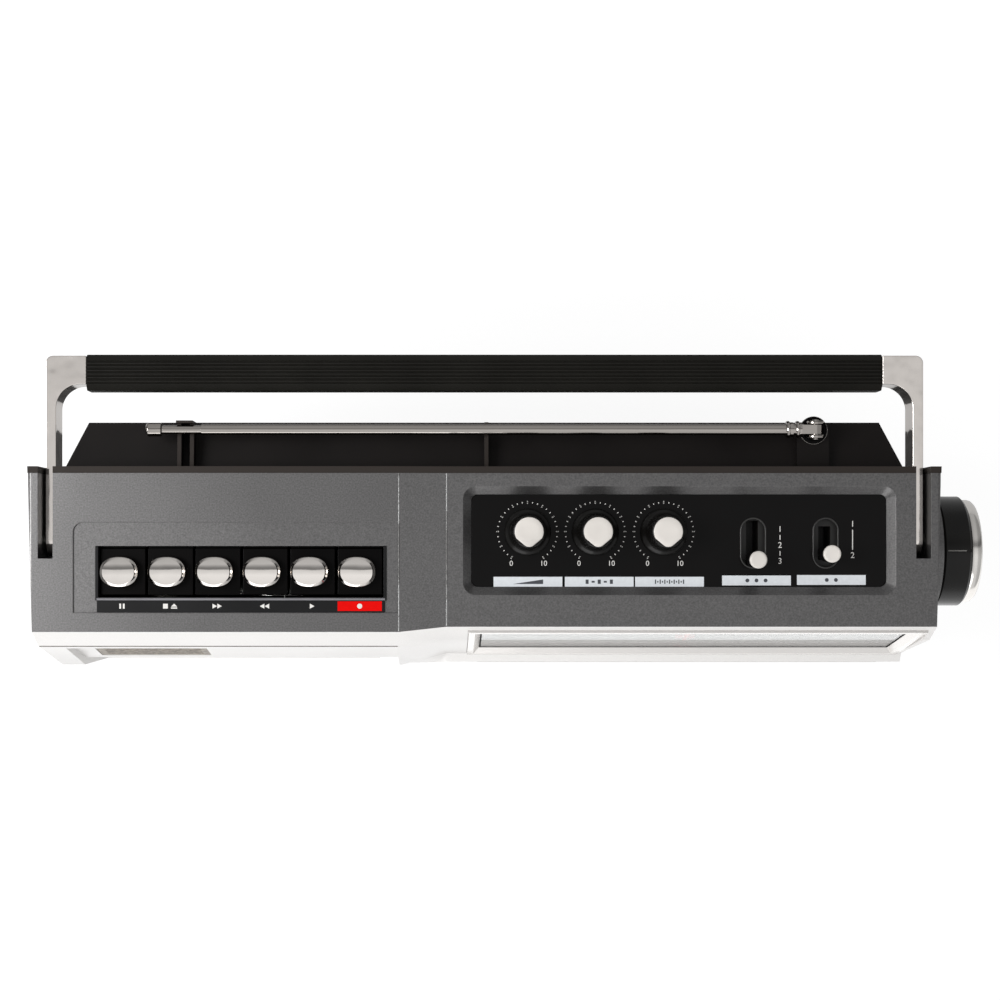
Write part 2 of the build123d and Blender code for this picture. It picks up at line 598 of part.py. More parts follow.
def handle_arm(side):
    """Chrome arm: an eye at the pivot, a flat leg, and a corner that holds the grip."""
    inner = side * (HANDLE_X - ARM_W / 2)
    outer = side * (HANDLE_X + ARM_W / 2)
    leg_x = sorted((inner, outer))
    z = about(PIVOT_Z, ARM_H)
    rear = GRIP_Y + GRIP_D / 2 - 0.6
    front = GRIP_Y - GRIP_D / 2 + 2.4
    arm = block(leg_x, (PIVOT_Y, rear), z) + shaft_x(PIVOT_Y, PIVOT_Z, ARM_H / 2, *leg_x)
    arm += block(sorted((side * GRIP_LEN / 2, inner + side)), (front, rear), z)
    # Rounded web inside the corner
    bend = (inner - side * ARM_CORNER_R, front - ARM_CORNER_R)
    web = block(sorted((bend[0], inner + side)), (bend[1], front + 0.5), z)
    arm += web - shaft_z(*bend, ARM_CORNER_R, z[0] - 1, z[1] + 1)
    edges = [e for e in arm.edges().filter_by(Axis.Z) if abs(e.center().X - outer) < 0.1]
    arm = fillet([e for e in edges if e.center().Y > rear - 1], 3.0)
    return arm - shaft_x(PIVOT_Y, PIVOT_Z, PIVOT_R + FIT, leg_x[0] - 1, leg_x[1] + 1)


def handle_grip():
    """Black grip with ribs along its length, above and below."""
    half_d, half_h, bevel, groove = GRIP_D / 2, GRIP_H / 2, 2.2, 0.6
    pitch = (GRIP_D - 2 * bevel) / GRIP_RIBS
    ribs = []
    for i in range(GRIP_RIBS):
        y = -half_d + bevel + pitch * (i + 0.5)
        ribs += [(y - pitch * 0.3, half_h), (y - pitch * 0.15, half_h - groove)]
        ribs += [(y + pitch * 0.15, half_h - groove), (y + pitch * 0.3, half_h)]
    half = [(-half_d, half_h - bevel)] + ribs + [(half_d, half_h - bevel)]
    outline = half + [(-y, -z) for y, z in half]
    return across([(GRIP_Y + y, PIVOT_Z + z) for y, z in outline], *about(0, GRIP_LEN))


def handle_pivots():
    pins = [sorted(side * x for x in PIVOT_X) for side in (-1, 1)]
    return [shaft_x(PIVOT_Y, PIVOT_Z, PIVOT_R, *x) for x in pins]


def key_surround():
    """Black frame that lines the key well; its front bar carries the key signs."""
    top = BODY_TOP - KEY_SHELF + 0.5
    skirt = block(wider(WELL_X, SKIRT_T), (WELL_Y[0] - SKIRT_T, WELL_Y[1]), (BODY_TOP - SKIRT_H, top))
    skirt -= block(WELL_X, (WELL_Y[0], WELL_Y[1] + 1), (BODY_TOP - SKIRT_H - 1, top + 1))
    bar_y = (WELL_Y[0] - SIGN_BAR, WELL_Y[0] - SKIRT_T / 2)
    return skirt + block(wider(WELL_X, SKIRT_T / 2), bar_y, (BODY_TOP - KEY_SHELF, top))


def key_shaft():
    return shaft_x(KEY_SHAFT_Y, KEY_SHAFT_Z, KEY_SHAFT_R, *wider(WELL_X, 2.4))


def key_lever(i):
    """Black finger block in the well, on an arm that hinges on the shaft behind it."""
    x = wider((WELL_X[0] + KEY_PITCH * i, WELL_X[0] + KEY_PITCH * (i + 1)), -0.5)
    top = BODY_TOP - KEY_DROP
    foot = top - KEY_BODY_H
    front, rear = WELL_Y[0] + 0.9, WELL_Y[1] - 0.9
    arm_top = top - KEY_ARM_DROP
    side = [(front, foot + 4), (front, top), (rear, top), (rear, arm_top), (KEY_SHAFT_Y - 1, arm_top),
            (KEY_SHAFT_Y - 1, KEY_SHAFT_Z - 2.2), (rear + 5, foot), (front + 5, foot)]
    lever = across(side, *x)
    arm_x = about(sum(x) / 2, 8)
    for cut in ((x[0] - 1, arm_x[0]), (arm_x[1], x[1] + 1)):
        lever -= block(cut, (rear + 7, KEY_SHAFT_Y + 3), (foot - 1, top + 1))
    lever += shaft_x(KEY_SHAFT_Y, KEY_SHAFT_Z, KEY_EYE_R, *arm_x)
    return lever - shaft_x(KEY_SHAFT_Y, KEY_SHAFT_Z, KEY_SHAFT_R + FIT, *wider(arm_x, 1))


def key_cap(i):
    """Chrome cap: round ends, flat front and rear, bevelled rim."""
    w, d, h = KEY_CAP
    r, bevel = w / 2 + 0.2, 1.0
    ends = turned([(0, 0), (r, 0), (r, h - bevel), (r - bevel, h), (0, h)], Pos(0, 0, 0))
    flats = Pos(0, 0, h / 2) * Box(w, d, h)
    flats = chamfer(flats.faces().sort_by(Axis.Z)[-1].edges(), bevel)
    x = WELL_X[0] + KEY_PITCH * (i + 0.5) + KEY_CAP_SHIFT
    return Pos(x, KEY_CAP_Y, BODY_TOP - KEY_DROP) * (ends & flats)


def control_plate():
    """Gloss black plate at the foot of the recess."""
    plate = extrude(recess_plan(RECESS_BEVEL + 0.1, PLATE_R, PLATE_TOP - PLATE_T), PLATE_T)
    return plate - control_holes(PLATE_TOP - PLATE_T - 1, PLATE_TOP + 1)


def beak(x, r, z0, z1):
    """A short point at the front of a round knob or cap."""
    return upright([(x - 1.6, KNOB_Y - r + 1), (x, KNOB_Y - r - 1.4), (x + 1.6, KNOB_Y - r + 1)], z0, z1)


def knob(x):
    """Skirted knob, drawn in to a narrow top, in one piece with its shaft."""
    foot = PLATE_TOP + 0.5
    top = KNOB_H - KNOB_CAP_T
    profile = [(0, 0), (KNOB_SKIRT_R, 0), (KNOB_SKIRT_R, 2), (KNOB_TOP_R, 4.2), (KNOB_TOP_R, top), (0, top)]
    body = turned(profile, Pos(x, KNOB_Y, foot)) + beak(x, KNOB_TOP_R, foot + 3, foot + top)
    return body + shaft_z(x, KNOB_Y, POT_SHAFT_R, BOARD_TOP + 4, foot + 1)


def knob_cap(x):
    """White disc on the knob, drawn out to a short point at the front."""
    foot = PLATE_TOP + 0.5 + KNOB_H - KNOB_CAP_T
    cap = shaft_z(x, KNOB_Y, KNOB_CAP_R, foot, foot + KNOB_CAP_T)
    cap += beak(x, KNOB_CAP_R, foot, foot + KNOB_CAP_T)
    return chamfer(cap.faces().sort_by(Axis.Z)[-1].edges(), 0.3)


def slider(name):
    """Switch button: a round stem on a square neck that runs in the slot."""
    x = SWITCH_X[name]
    y = SWITCH_Y - SWITCH_TRAVEL[name] / 2
    stem = shaft_z(x, y, SLIDER_R, PLATE_TOP + GAP, PLATE_TOP + GAP + SLIDER_H)
    return stem + block(about(x, SLIDER_NECK), about(y, SLIDER_NECK), (BOARD_TOP + 6, PLATE_TOP + 1))


def main_board():
    """Board under the controls, with three potentiometers and two slide switches."""
    pieces = [block((RECESS_X[0] - 3, RECESS_X[1] + 2), (-17.5, 28), (BOARD_TOP - BOARD_T, BOARD_TOP))]
    top = PAD_FOOT - 0.1
    for x in KNOB_X.values():
        pot = block(about(x, 2 * POT_R), about(KNOB_Y, 2 * POT_R), (BOARD_TOP, BOARD_TOP + POT_H))
        pot += shaft_z(x, KNOB_Y, POT_SHAFT_R + 1.6, BOARD_TOP, top)
        pieces.append(pot - shaft_z(x, KNOB_Y, POT_SHAFT_R + FIT, BOARD_TOP + 3.4, top + 1))
    for name, x in SWITCH_X.items():
        run = SWITCH_TRAVEL[name] + SLIDER_NECK + 2 * GAP
        body = block(about(x, 12), about(SWITCH_Y, 25), (BOARD_TOP, top))
        track = block(about(x, SLIDER_NECK + 2 * GAP), about(SWITCH_Y, run), (BOARD_TOP + 5.6, top + 1))
        pieces.append(body - track)
    return pieces


def tuning_gang():
    """Variable capacitor hung under the board; it bears the tuning shaft's inner end."""
    x = (TUNE_SHAFT_END - GANG, TUNE_SHAFT_END)
    body = block(x, about(TUNE_Y, GANG), (TUNE_Z - GANG / 2, BOARD_TOP - BOARD_T))
    body += shaft_x(TUNE_Y, TUNE_Z, TUNE_SHAFT_R + 2, x[1] - 1, x[1] + 4)
    return body - shaft_x(TUNE_Y, TUNE_Z, TUNE_SHAFT_R + FIT, x[1] - 8, x[1] + 5)


def tuning_knob():
    """Black rim with an index groove, on its shaft."""
    x0 = X_HALF + BOSS_OUT + 0.5
    rim_t = TUNE_RIM - 0.5
    profile = [(0, 0), (TUNE_R - 1, 0), (TUNE_R, 1), (TUNE_R, rim_t - 1), (TUNE_R - 0.9, rim_t), (0, rim_t)]
    rim = turned(profile, Pos(x0, TUNE_Y, TUNE_Z) * Rot(0, 90, 0))
    groove_z = TUNE_Z + TUNE_R
    rim -= block((x0 + 1.5, x0 + TUNE_RIM), about(TUNE_Y, 1.2), (groove_z - 0.8, groove_z + 1))
    return rim + shaft_x(TUNE_Y, TUNE_Z, TUNE_SHAFT_R, TUNE_SHAFT_END - 7, x0 + 1)


def tuning_knob_cap():
    """Polished cap with a bevelled rim."""
    r, h = TUNE_CAP_R, TUNE_CAP
    profile = [(0, 0), (r, 0), (r, h - 1.6), (r - 1.6, h), (0, h)]
    return turned(profile, Pos(X_HALF + BOSS_OUT + TUNE_RIM, TUNE_Y, TUNE_Z) * Rot(0, 90, 0))


def dial_bezel():
    """Silver frame round the dial window, with a bevelled mouth and a rebate behind."""
    outer = (DIAL_HALF[0] - SEAT, DIAL_HALF[1] - SEAT)
    frame = panel_of(outer, (-SCALE_BACK, 1.0))
    mouth = [Pos(0, 0, z) * Rectangle(2 * (DIAL_INNER[0] + by), 2 * (DIAL_INNER[1] + by))
             for z, by in ((-WINDOW_BACK, 0), (1.01, 2.4))]
    frame -= loft(mouth)
    return DIAL.location * (frame - panel_of(DIAL_INNER, (-SCALE_BACK - 1, -WINDOW_BACK), DIAL_LIP + 0.1))


def dial_window():
    return DIAL.location * panel_of(DIAL_INNER, (-WINDOW_BACK - WINDOW_T, -WINDOW_BACK), DIAL_LIP)


def dial_scale():
    """Scale plate behind the window, with the groove that the pointer runs in."""
    plate = panel_of(DIAL_INNER, (-SCALE_BACK - WINDOW_T, -SCALE_BACK), DIAL_LIP)
    groove_x = wider((-DIAL_INNER[0], DIAL_INNER[0]), -6)
    plate -= block(groove_x, GROOVE_Y, (-SCALE_BACK - 0.8, -SCALE_BACK + 1))
    return DIAL.location * plate


def dial_pointer():
    """Red pointer: a thin upright bar with a foot that runs in the scale plate's groove."""
    bar_y = (-DIAL_INNER[1] + 4, DIAL_INNER[1] - 4)
    bar = block((-0.7, 0.7), bar_y, (-SCALE_BACK + 0.5, -SCALE_BACK + 1.7))
    foot = block((-4, 4), wider(GROOVE_Y, -GAP), (-SCALE_BACK - 0.5, -SCALE_BACK + 1.1))
    return DIAL.location * (bar + foot)


def speaker_grille():
    """Frame with level slats, each with a sloping brow, on two uprights."""
    x, z = wider(GRILLE_X, -SEAT), wider(GRILLE_Z, -SEAT)
    y0, y1 = GRILLE_BACK - GRILLE_T, GRILLE_BACK
    inner_x, inner_z = wider(x, -GRILLE_FRAME), wider(z, -GRILLE_FRAME)
    grille = block(x, (y0, y1), z) - block(inner_x, (y0 - 1, y1 + 1), inner_z)
    pitch = (inner_z[1] - inner_z[0]) / (SLATS + 0.5)
    for i in range(SLATS):
        foot = inner_z[0] + pitch * (i + 0.42)
        brow = foot + pitch * 0.5
        slat = [(y0 + 0.2, foot + 0.9), (y0 + 0.9, foot), (y1 - 0.6, foot + 0.8),
                (y1 - 0.6, foot + 2.8), (y0 + 1.1, brow), (y0 + 0.2, brow - 0.9)]
        grille += across(slat, *wider(inner_x, 1))
    for share in (1 / 3, 2 / 3):
        post = x[0] + (x[1] - x[0]) * share
        grille += block(about(post, 2), (y1 - 1.4, y1), wider(inner_z, 1))
    return grille


def loudspeaker():
    """Pressed basket with its magnet, and the paper cone seated on its rim."""
    place = Pos(SPEAKER_X, SPEAKER_Y, SPEAKER_Z) * Rot(-90, 0, 0)
    r, magnet = SPEAKER_R, 30.0
    basket = [(r - 7, 0), (r, 0), (r, 2.4), (r - 5, 2.4), (r - 5, 19), (magnet, 19), (magnet, SPEAKER_D),
              (0, SPEAKER_D), (0, 17), (r - 7, 17)]
    cone = [(r - 9, -0.8), (r - 4, -0.8), (r - 4, 0), (r - 8, 0), (15.4, 16.4), (0, 16.4), (0, 15), (15, 15)]
    return [turned(basket, place), turned(cone, place)]


def deck_well():
    """Black liner behind the cassette door, open at the front."""
    x, z = wider(DECK_X, GAP), (DOOR_FOOT - 1.5, DOOR_TOP + GAP)
    liner = block(wider(x, LINER_T), (LINER_FRONT, DECK_BACK + LINER_T), wider(z, LINER_T))
    liner -= block(x, (LINER_FRONT - 1, DECK_BACK), z)
    liner -= block(wider(x, 5), (LINER_FRONT - 1, DOOR_HINGE[0] + 3.6), (z[0] - 5, DOOR_HINGE[1] + 4.6))
    for reel_x in REEL_X:
        liner -= shaft_y(reel_x, REEL_Z, 7, DECK_BACK - 1, DECK_BACK + 4)
    for pin_z in (CAPSTAN_Z, ROLLER_Z):
        liner -= shaft_y(CAPSTAN_X, pin_z, PIN_R + 0.6, DECK_BACK - 1, DECK_BACK + 4)
    return liner


def deck_chassis():
    """Steel plate that bears the reels and the capstan, with the motor on its back."""
    y = (DECK_BACK + LINER_T + 0.1, DECK_BACK + LINER_T + 1.7)
    plate = block(wider(DECK_X, -2), y, (DOOR_FOOT + 2, DOOR_TOP + 12))
    for x in REEL_X:
        plate -= shaft_y(x, REEL_Z, 1.5 + FIT, y[0] - 1, y[1] + 1)
    for z in (CAPSTAN_Z, ROLLER_Z):
        plate -= shaft_y(CAPSTAN_X, z, PIN_R + FIT, y[0] - 1, y[1] + 1)
    return [plate, shaft_y(DECK_MID - 38, DOOR_TOP - 22, 15, y[1], y[1] + 22)]


def reel(x):
    """Drive spindle with three ribs that turn the cassette's hub."""
    tip = DECK_BACK - 13
    profile = [(0, -2), (2.9, 0), (2.9, 11.4), (6, 11.4), (6, 14), (1.5, 14), (1.5, 18), (0, 18)]
    spindle = turned(profile, Pos(x, tip, REEL_Z) * Rot(-90, 0, 0))
    wing = block(about(0, 1.4), (tip + 0.6, tip + 12), (0, 4.2))
    for k in range(3):
        spindle += Pos(x, 0, REEL_Z) * Rot(0, 120 * k, 0) * wing
    return spindle


def capstan():
    """Thin capstan shaft on its heavy flywheel."""
    shaft = shaft_y(CAPSTAN_X, CAPSTAN_Z, PIN_R, DECK_BACK - 11, DECK_BACK + 8)
    return shaft + shaft_y(CAPSTAN_X, CAPSTAN_Z, 24, DECK_BACK + 4.4, DECK_BACK + 9)


def pinch_roller():
    """Rubber roller above the capstan, on its own axle."""
    roller = shaft_y(CAPSTAN_X, ROLLER_Z, ROLLER_R, DECK_BACK - 10, DECK_BACK - 4)
    return roller + shaft_y(CAPSTAN_X, ROLLER_Z, PIN_R, DECK_BACK - 10.6, DECK_BACK + 3.2)


def tape_heads():
    """Record and play head, and erase head, on their feet against the liner's back."""
    z = DOOR_FOOT + POCKET_UP + CASSETTE[1] + 1.2
    y = DECK_BACK
    side = [(y - 12, z + 8), (y - 12, z + 1.4), (y - 11, z), (y - 5, z), (y - 4, z + 1.4), (y, z + 5),
            (y, z + 8)]
    return [across(side, *about(x, w)) for x, w in ((DECK_MID, 14.0), (DECK_MID - 24, 9.0))]


def door_window_span(by=0.0):
    """Width and height spans of the opening in the cassette door."""
    return wider(about(DECK_MID, DOOR_WINDOW[0]), by), wider(about(REEL_Z + 1, DOOR_WINDOW[1]), by)


def cassette_door():
    """Door frame round a window, with a pocket for the cassette and pins at its foot."""
    door = block(DECK_X, (DOOR_FACE, DOOR_BACK), (DOOR_FOOT, DOOR_TOP))
    rim = door.faces().sort_by(Axis.Y)[0].edges().sort_by(Axis.Z)
    door = chamfer(rim[0], DOOR_BEVEL)
    door = chamfer(door.faces().sort_by(Axis.Y)[0].edges().sort_by(Axis.Z)[1:], 0.7)
    window_x, window_z = door_window_span()
    door -= block(window_x, (DOOR_FACE - 1, DOOR_BACK + 1), window_z)
    pocket = about(DECK_MID, CASSETTE[0] + 1.6)
    y = (DOOR_BACK - 0.1, DOOR_BACK + 9)
    for x in ((pocket[0] - LINER_T, pocket[0]), (pocket[1], pocket[1] + LINER_T)):
        door += block(x, y, (DOOR_FOOT + POCKET_UP - LINER_T, REEL_Z + 22))
    door += block(wider(pocket, LINER_T), y, (DOOR_FOOT + POCKET_UP - LINER_T, DOOR_FOOT + POCKET_UP))
    # Lugs with the pins that turn in the front panel's ears
    for x, way in ((DECK_X[0], -1), (DECK_X[1], 1)):
        lug = sorted((x, x - way * 3))
        door += block(lug, (DOOR_BACK - 0.1, DOOR_HINGE[0]), about(DOOR_HINGE[1], 2 * DOOR_PIN_R))
        door += shaft_x(*DOOR_HINGE, DOOR_PIN_R, *sorted((x - way * 3, x + way * 3)))
    return door


def cassette_window():
    x, z = door_window_span(-0.1)
    return block(x, (DOOR_FACE + 0.3, DOOR_BACK), z)


def mic_grille():
    """Insert with fine level slots in front of the built-in microphone."""
    half = (MIC_SIZE[0] / 2 - 0.1, MIC_SIZE[1] / 2 - 0.1)
    insert = panel_of(half, (-3.0, -0.3))
    pitch = (2 * half[1] - 2.4) / MIC_SLOTS
    for i in range(MIC_SLOTS):
        y = -half[1] + 1.8 + i * pitch
        insert -= block((-half[0] + 3, half[0] - 3), (y, y + 1), (-1.4, 0))
    return MIC.location * insert


def antenna_base():
    """Chrome disc and fork on the rear cover's pad, with the pin that the rod folds on."""
    base = shaft_z(HINGE_X, ROD_Y, 5.6, BASE_Z, BASE_Z + 1.2)
    inner, outer = TONGUE_T / 2 + 0.3, TONGUE_T / 2 + 1.6
    for y in ((ROD_Y - outer, ROD_Y - inner), (ROD_Y + inner, ROD_Y + outer)):
        base += shaft_y(HINGE_X, ROD_Z, EAR_R, *y)
        base += block(about(HINGE_X, 6), y, (BASE_Z + 0.5, ROD_Z))
    return base + shaft_y(HINGE_X, ROD_Z, PIN_R, *about(ROD_Y, 2 * outer + 1.2))


def antenna_tube():
    """Outer tube with two collars and a flat tongue between the fork's ears."""
    bore = ROD_R[1] + ROD_FIT
    tube = shaft_x(ROD_Y, ROD_Z, ROD_R[0], TUBE_END, HINGE_X - 4.6)
    tube -= shaft_x(ROD_Y, ROD_Z, bore, TUBE_END - 1, HINGE_X - 14)
    for x in (HINGE_X - 10.8, HINGE_X - 7.4):
        tube += shaft_x(ROD_Y, ROD_Z, 3.0, x, x + 1.8)
    tongue = block((HINGE_X - 6, HINGE_X), about(ROD_Y, TONGUE_T), about(ROD_Z, 5.2))
    tongue += shaft_y(HINGE_X, ROD_Z, 2.6, *about(ROD_Y, TONGUE_T))
    return tube + tongue - shaft_y(HINGE_X, ROD_Z, PIN_R + FIT, *about(ROD_Y, 6))


def antenna_section_2():
    """Middle tube; its outer end shows beyond the first tube."""
    inner_end = HINGE_X - 26
    tube = shaft_x(ROD_Y, ROD_Z, ROD_R[1], SECTION_END, inner_end)
    return tube - shaft_x(ROD_Y, ROD_Z, ROD_R[2] + ROD_FIT, SECTION_END - 1, inner_end - 4)


def antenna_section_3():
    """Inner rod with the round tip that the hand pulls."""
    tip = shaft_x(ROD_Y, ROD_Z, TIP_R, TIP_END, SECTION_END - 0.3)
    tip = chamfer(tip.faces().sort_by(Axis.X)[0].edges(), 0.8)
    return tip + shaft_x(ROD_Y, ROD_Z, ROD_R[2], SECTION_END - 2, HINGE_X - 36)


def feet():
    return [shaft_z(x, y, FOOT_R, 0, FOOT_H) for x, y in FOOT_AT]


def case_screws():
    """Round-headed screws, one in each pocket of the rear cover."""
    screws = []
    for x, z in SCREW_AT:
        head = shaft_y(x, z, SCREW_R, Y_HUMP - POCKET, Y_HUMP - POCKET + 2.2)
        screws.append(head + shaft_y(x, z, SHANK_R, Y_REAR - 3, Y_HUMP - POCKET + 1))
    return screws


def power_inlet():
    """Two-pin mains inlet, bare, in the rear cover's left."""
    x, z = INLET_AT
    w, h, depth = INLET
    shell = block(about(x, w - 0.4), (Y_HUMP - depth - 0.4, Y_HUMP - 0.4), about(z, h - 0.4))
    floor = Y_HUMP - 12
    shell -= Pos(x, floor, z) * Rot(-90, 0, 0) * extrude(SlotOverall(19, 9.4), 14)
    for side in (-1, 1):
        shell += shaft_y(x + side * 4.2, z, 1.15, floor - 1, Y_HUMP - 3)
    return shell


def write(name, pieces):
    """Move the pieces to the object's origin and write them as one file."""
    solids = []
    for piece in pieces if isinstance(pieces, list) else [pieces]:
        solids += piece.solids()
    placed = Pos(-ORIGIN_X, -ORIGIN_Y, 0) * Compound(children=solids)
    export_step(placed, f"parts/{name}.step")
    print(name, len(solids), "solids", round(sum(s.volume for s in solids) / 1000, 2), "cm3")


SINGLE_PIECES = (
    cabinet, front_panel, rear_cover, battery_box, battery_contacts, battery_door,
    handle_grip, handle_pivots, key_surround, key_shaft, control_plate, main_board,
    tuning_gang, tuning_knob, tuning_knob_cap, dial_bezel, dial_window, dial_scale,
    dial_pointer, speaker_grille, loudspeaker, deck_well, deck_chassis, capstan,
    pinch_roller, tape_heads, cassette_door, cassette_window, mic_grille, antenna_base,
    antenna_tube, antenna_section_2, antenna_section_3, feet, case_screws, power_inlet,
)

os.makedirs("parts", exist_ok=True)
for make in SINGLE_PIECES:
    write(make.__name__, make())
for side_name, side_sign, reel_x in (("left", -1, REEL_X[0]), ("right", 1, REEL_X[1])):
    write(f"handle_arm_{side_name}", handle_arm(side_sign))
    write(f"reel_{side_name}", reel(reel_x))
for number, key_name in enumerate(KEY_NAMES):
    write(f"{key_name}_key", key_lever(number))
    write(f"{key_name}_key_cap", key_cap(number))
for knob_name, knob_x in KNOB_X.items():
    write(f"{knob_name}_knob", knob(knob_x))
    write(f"{knob_name}_knob_cap", knob_cap(knob_x))
for switch_name in SWITCH_X:
    write(f"{switch_name}_slider", slider(switch_name))
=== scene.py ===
import json
import math
import bmesh
import bpy
from mathutils import Matrix, Vector


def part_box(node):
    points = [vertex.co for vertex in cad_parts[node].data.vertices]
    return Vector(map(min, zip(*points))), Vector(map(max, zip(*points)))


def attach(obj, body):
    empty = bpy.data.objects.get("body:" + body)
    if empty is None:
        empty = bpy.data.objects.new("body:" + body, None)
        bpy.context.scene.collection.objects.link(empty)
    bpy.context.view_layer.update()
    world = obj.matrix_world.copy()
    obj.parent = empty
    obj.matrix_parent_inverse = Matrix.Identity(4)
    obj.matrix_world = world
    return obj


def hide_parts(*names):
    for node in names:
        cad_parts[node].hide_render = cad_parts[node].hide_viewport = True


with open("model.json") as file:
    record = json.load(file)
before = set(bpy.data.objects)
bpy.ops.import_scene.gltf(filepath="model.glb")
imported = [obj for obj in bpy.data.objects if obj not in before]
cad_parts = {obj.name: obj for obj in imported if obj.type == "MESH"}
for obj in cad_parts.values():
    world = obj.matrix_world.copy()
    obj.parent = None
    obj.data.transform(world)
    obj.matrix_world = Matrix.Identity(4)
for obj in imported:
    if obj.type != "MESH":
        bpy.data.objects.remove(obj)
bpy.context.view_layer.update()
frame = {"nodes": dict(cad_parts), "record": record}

# The cabinet is a sleeve of moulded plastic, sprayed in a dark metallic grey. Real flakes are
# too fine to show, so the lacquer's are drawn coarser. Its creases carry painted highlights.

MM = 0.001
body_of = {node: body for body, nodes in frame["record"]["behaviour"]["bodies"].items()
           for node in nodes}
slot_of = {part["node"]: part["material_slot"] for part in frame["record"]["subparts"]}


def srgb(code, gain=1.0):
    """A #rrggbb colour as linear RGBA, made lighter or darker by a gain."""
    channels = [int(code[i:i + 2], 16) / 255 for i in (1, 3, 5)]
    linear = [c / 12.92 if c <= 0.04045 else ((c + 0.055) / 1.055) ** 2.4 for c in channels]
    return [min(1.0, c * gain) for c in linear] + [1.0]


def add(tree, kind, links=None, **settings):
    """Adds a node. links maps each input to a value or to another node's output."""
    node = tree.nodes.new(kind)
    for name, value in settings.items():
        setattr(node, name, value)
    for socket, value in (links or {}).items():
        if isinstance(value, bpy.types.NodeSocket):
            tree.links.new(value, node.inputs[socket])
        else:
            node.inputs[socket].default_value = value
    return node


def new_finish(name, **settings):
    """A material, its node tree, its shader and the piece's own coordinates in metres."""
    finish = bpy.data.materials.new(name)
    finish.use_nodes = True
    tree = finish.node_tree
    shader = tree.nodes["Principled BSDF"]
    for socket, value in settings.items():
        shader.inputs[socket.replace("_", " ")].default_value = value
    return finish, tree, shader, add(tree, "ShaderNodeTexCoord").outputs["Object"]


def wired(tree, shader, **links):
    """Joins outputs of other nodes to the shader's inputs."""
    for socket, value in links.items():
        tree.links.new(value, shader.inputs[socket.replace("_", " ")])


def noise(tree, place, size, detail):
    """Noise whose cells have a size in mm."""
    return add(tree, "ShaderNodeTexNoise", {"Vector": place, "Scale": 1 / (size * MM),
                                            "Detail": detail}).outputs["Fac"]


def spread(tree, value, low=0.0, high=1.0, ends=(0.3, 0.7)):
    """Stretches what lies between two ends, so that it runs from low to high."""
    return add(tree, "ShaderNodeMapRange", {"Value": value,
                                            "From Min": ends[0], "From Max": ends[1],
                                            "To Min": low, "To Max": high}).outputs[0]


def blend(tree, share, first, second):
    """A colour between two others, by the share of the second."""
    return add(tree, "ShaderNodeMix", {0: share, 6: first, 7: second}, data_type="RGBA").outputs[2]


def relief(tree, height, depth, strength):
    """A bump with a depth in mm."""
    return add(tree, "ShaderNodeBump", {"Height": height, "Distance": depth * MM,
                                        "Strength": strength}).outputs[0]


def lacquer(name, colour, flake, contrast, metallic, roughness):
    """Sprayed metallic lacquer: flakes of a size in mm, and slow clouds in its gloss."""
    finish, tree, shader, place = new_finish(name, Metallic=metallic)
    flakes = noise(tree, place, size=flake, detail=3.0)
    clouds = noise(tree, place, size=38, detail=2.0)
    wired(tree, shader,
          Base_Color=blend(tree, spread(tree, flakes), srgb(colour, 1 - contrast),
                           srgb(colour, 1 + contrast)),
          Roughness=spread(tree, clouds, roughness - 0.04, roughness + 0.04),
          Normal=relief(tree, flakes, depth=0.02, strength=0.5))
    return finish


def linked(name, data):
    """An object of a mesh, a curve, a lamp or a camera, in the scene."""
    piece = bpy.data.objects.new(name, data)
    bpy.context.scene.collection.objects.link(piece)
    return piece


def plain_mesh(piece):
    """The mesh that a piece comes to with its modifiers."""
    evaluated = piece.evaluated_get(bpy.context.evaluated_depsgraph_get())
    return bpy.data.meshes.new_from_object(evaluated)


def bake_modifiers(piece):
    """Gives a piece its plain mesh."""
    mesh = plain_mesh(piece)
    piece.modifiers.clear()
    piece.data = mesh


def fixed(piece, finish, body, slot, *stands_for):
    """Gives a piece its finish and its body, and hides the CAD nodes that it stands for; the slot
    is not used.
    """
    piece.data.materials.clear()
    piece.data.materials.append(finish)
    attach(piece, body)
    if stands_for:
        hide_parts(*stands_for)


def eased(node, finish, width, segments=2):
    """Puts a merged copy of a CAD node in its place, with its edges broken by a width in mm."""
    mesh = frame["nodes"][node].data.copy()
    shape = bmesh.new()
    shape.from_mesh(mesh)
    bmesh.ops.remove_doubles(shape, verts=shape.verts, dist=1e-6)
    bmesh.ops.dissolve_limit(shape, angle_limit=math.radians(0.5), verts=shape.verts,
                             edges=shape.edges)
    shape.to_mesh(mesh)
    shape.free()
    piece = linked(node + "_finished", mesh)
    bevel = piece.modifiers.new("edges", "BEVEL")
    bevel.width = width * MM
    bevel.segments = segments
    bevel.limit_method = "ANGLE"
    bevel.angle_limit = math.radians(32)
    bake_modifiers(piece)
    piece.data.shade_smooth()
    piece.data.set_sharp_from_angle(angle=math.radians(40))
    weighted = piece.modifiers.new("normals", "WEIGHTED_NORMAL")
    weighted.keep_sharp = True
    weighted.weight = 90
    bake_modifiers(piece)
    fixed(piece, finish, body_of[node], slot_of[node], node)


cabinet_grey = lacquer("dark grey metallic lacquer, sprayed", "#676666", flake=0.6, contrast=0.22,
                       metallic=0.75, roughness=0.36)
eased("cabinet", cabinet_grey, width=0.35, segments=3)


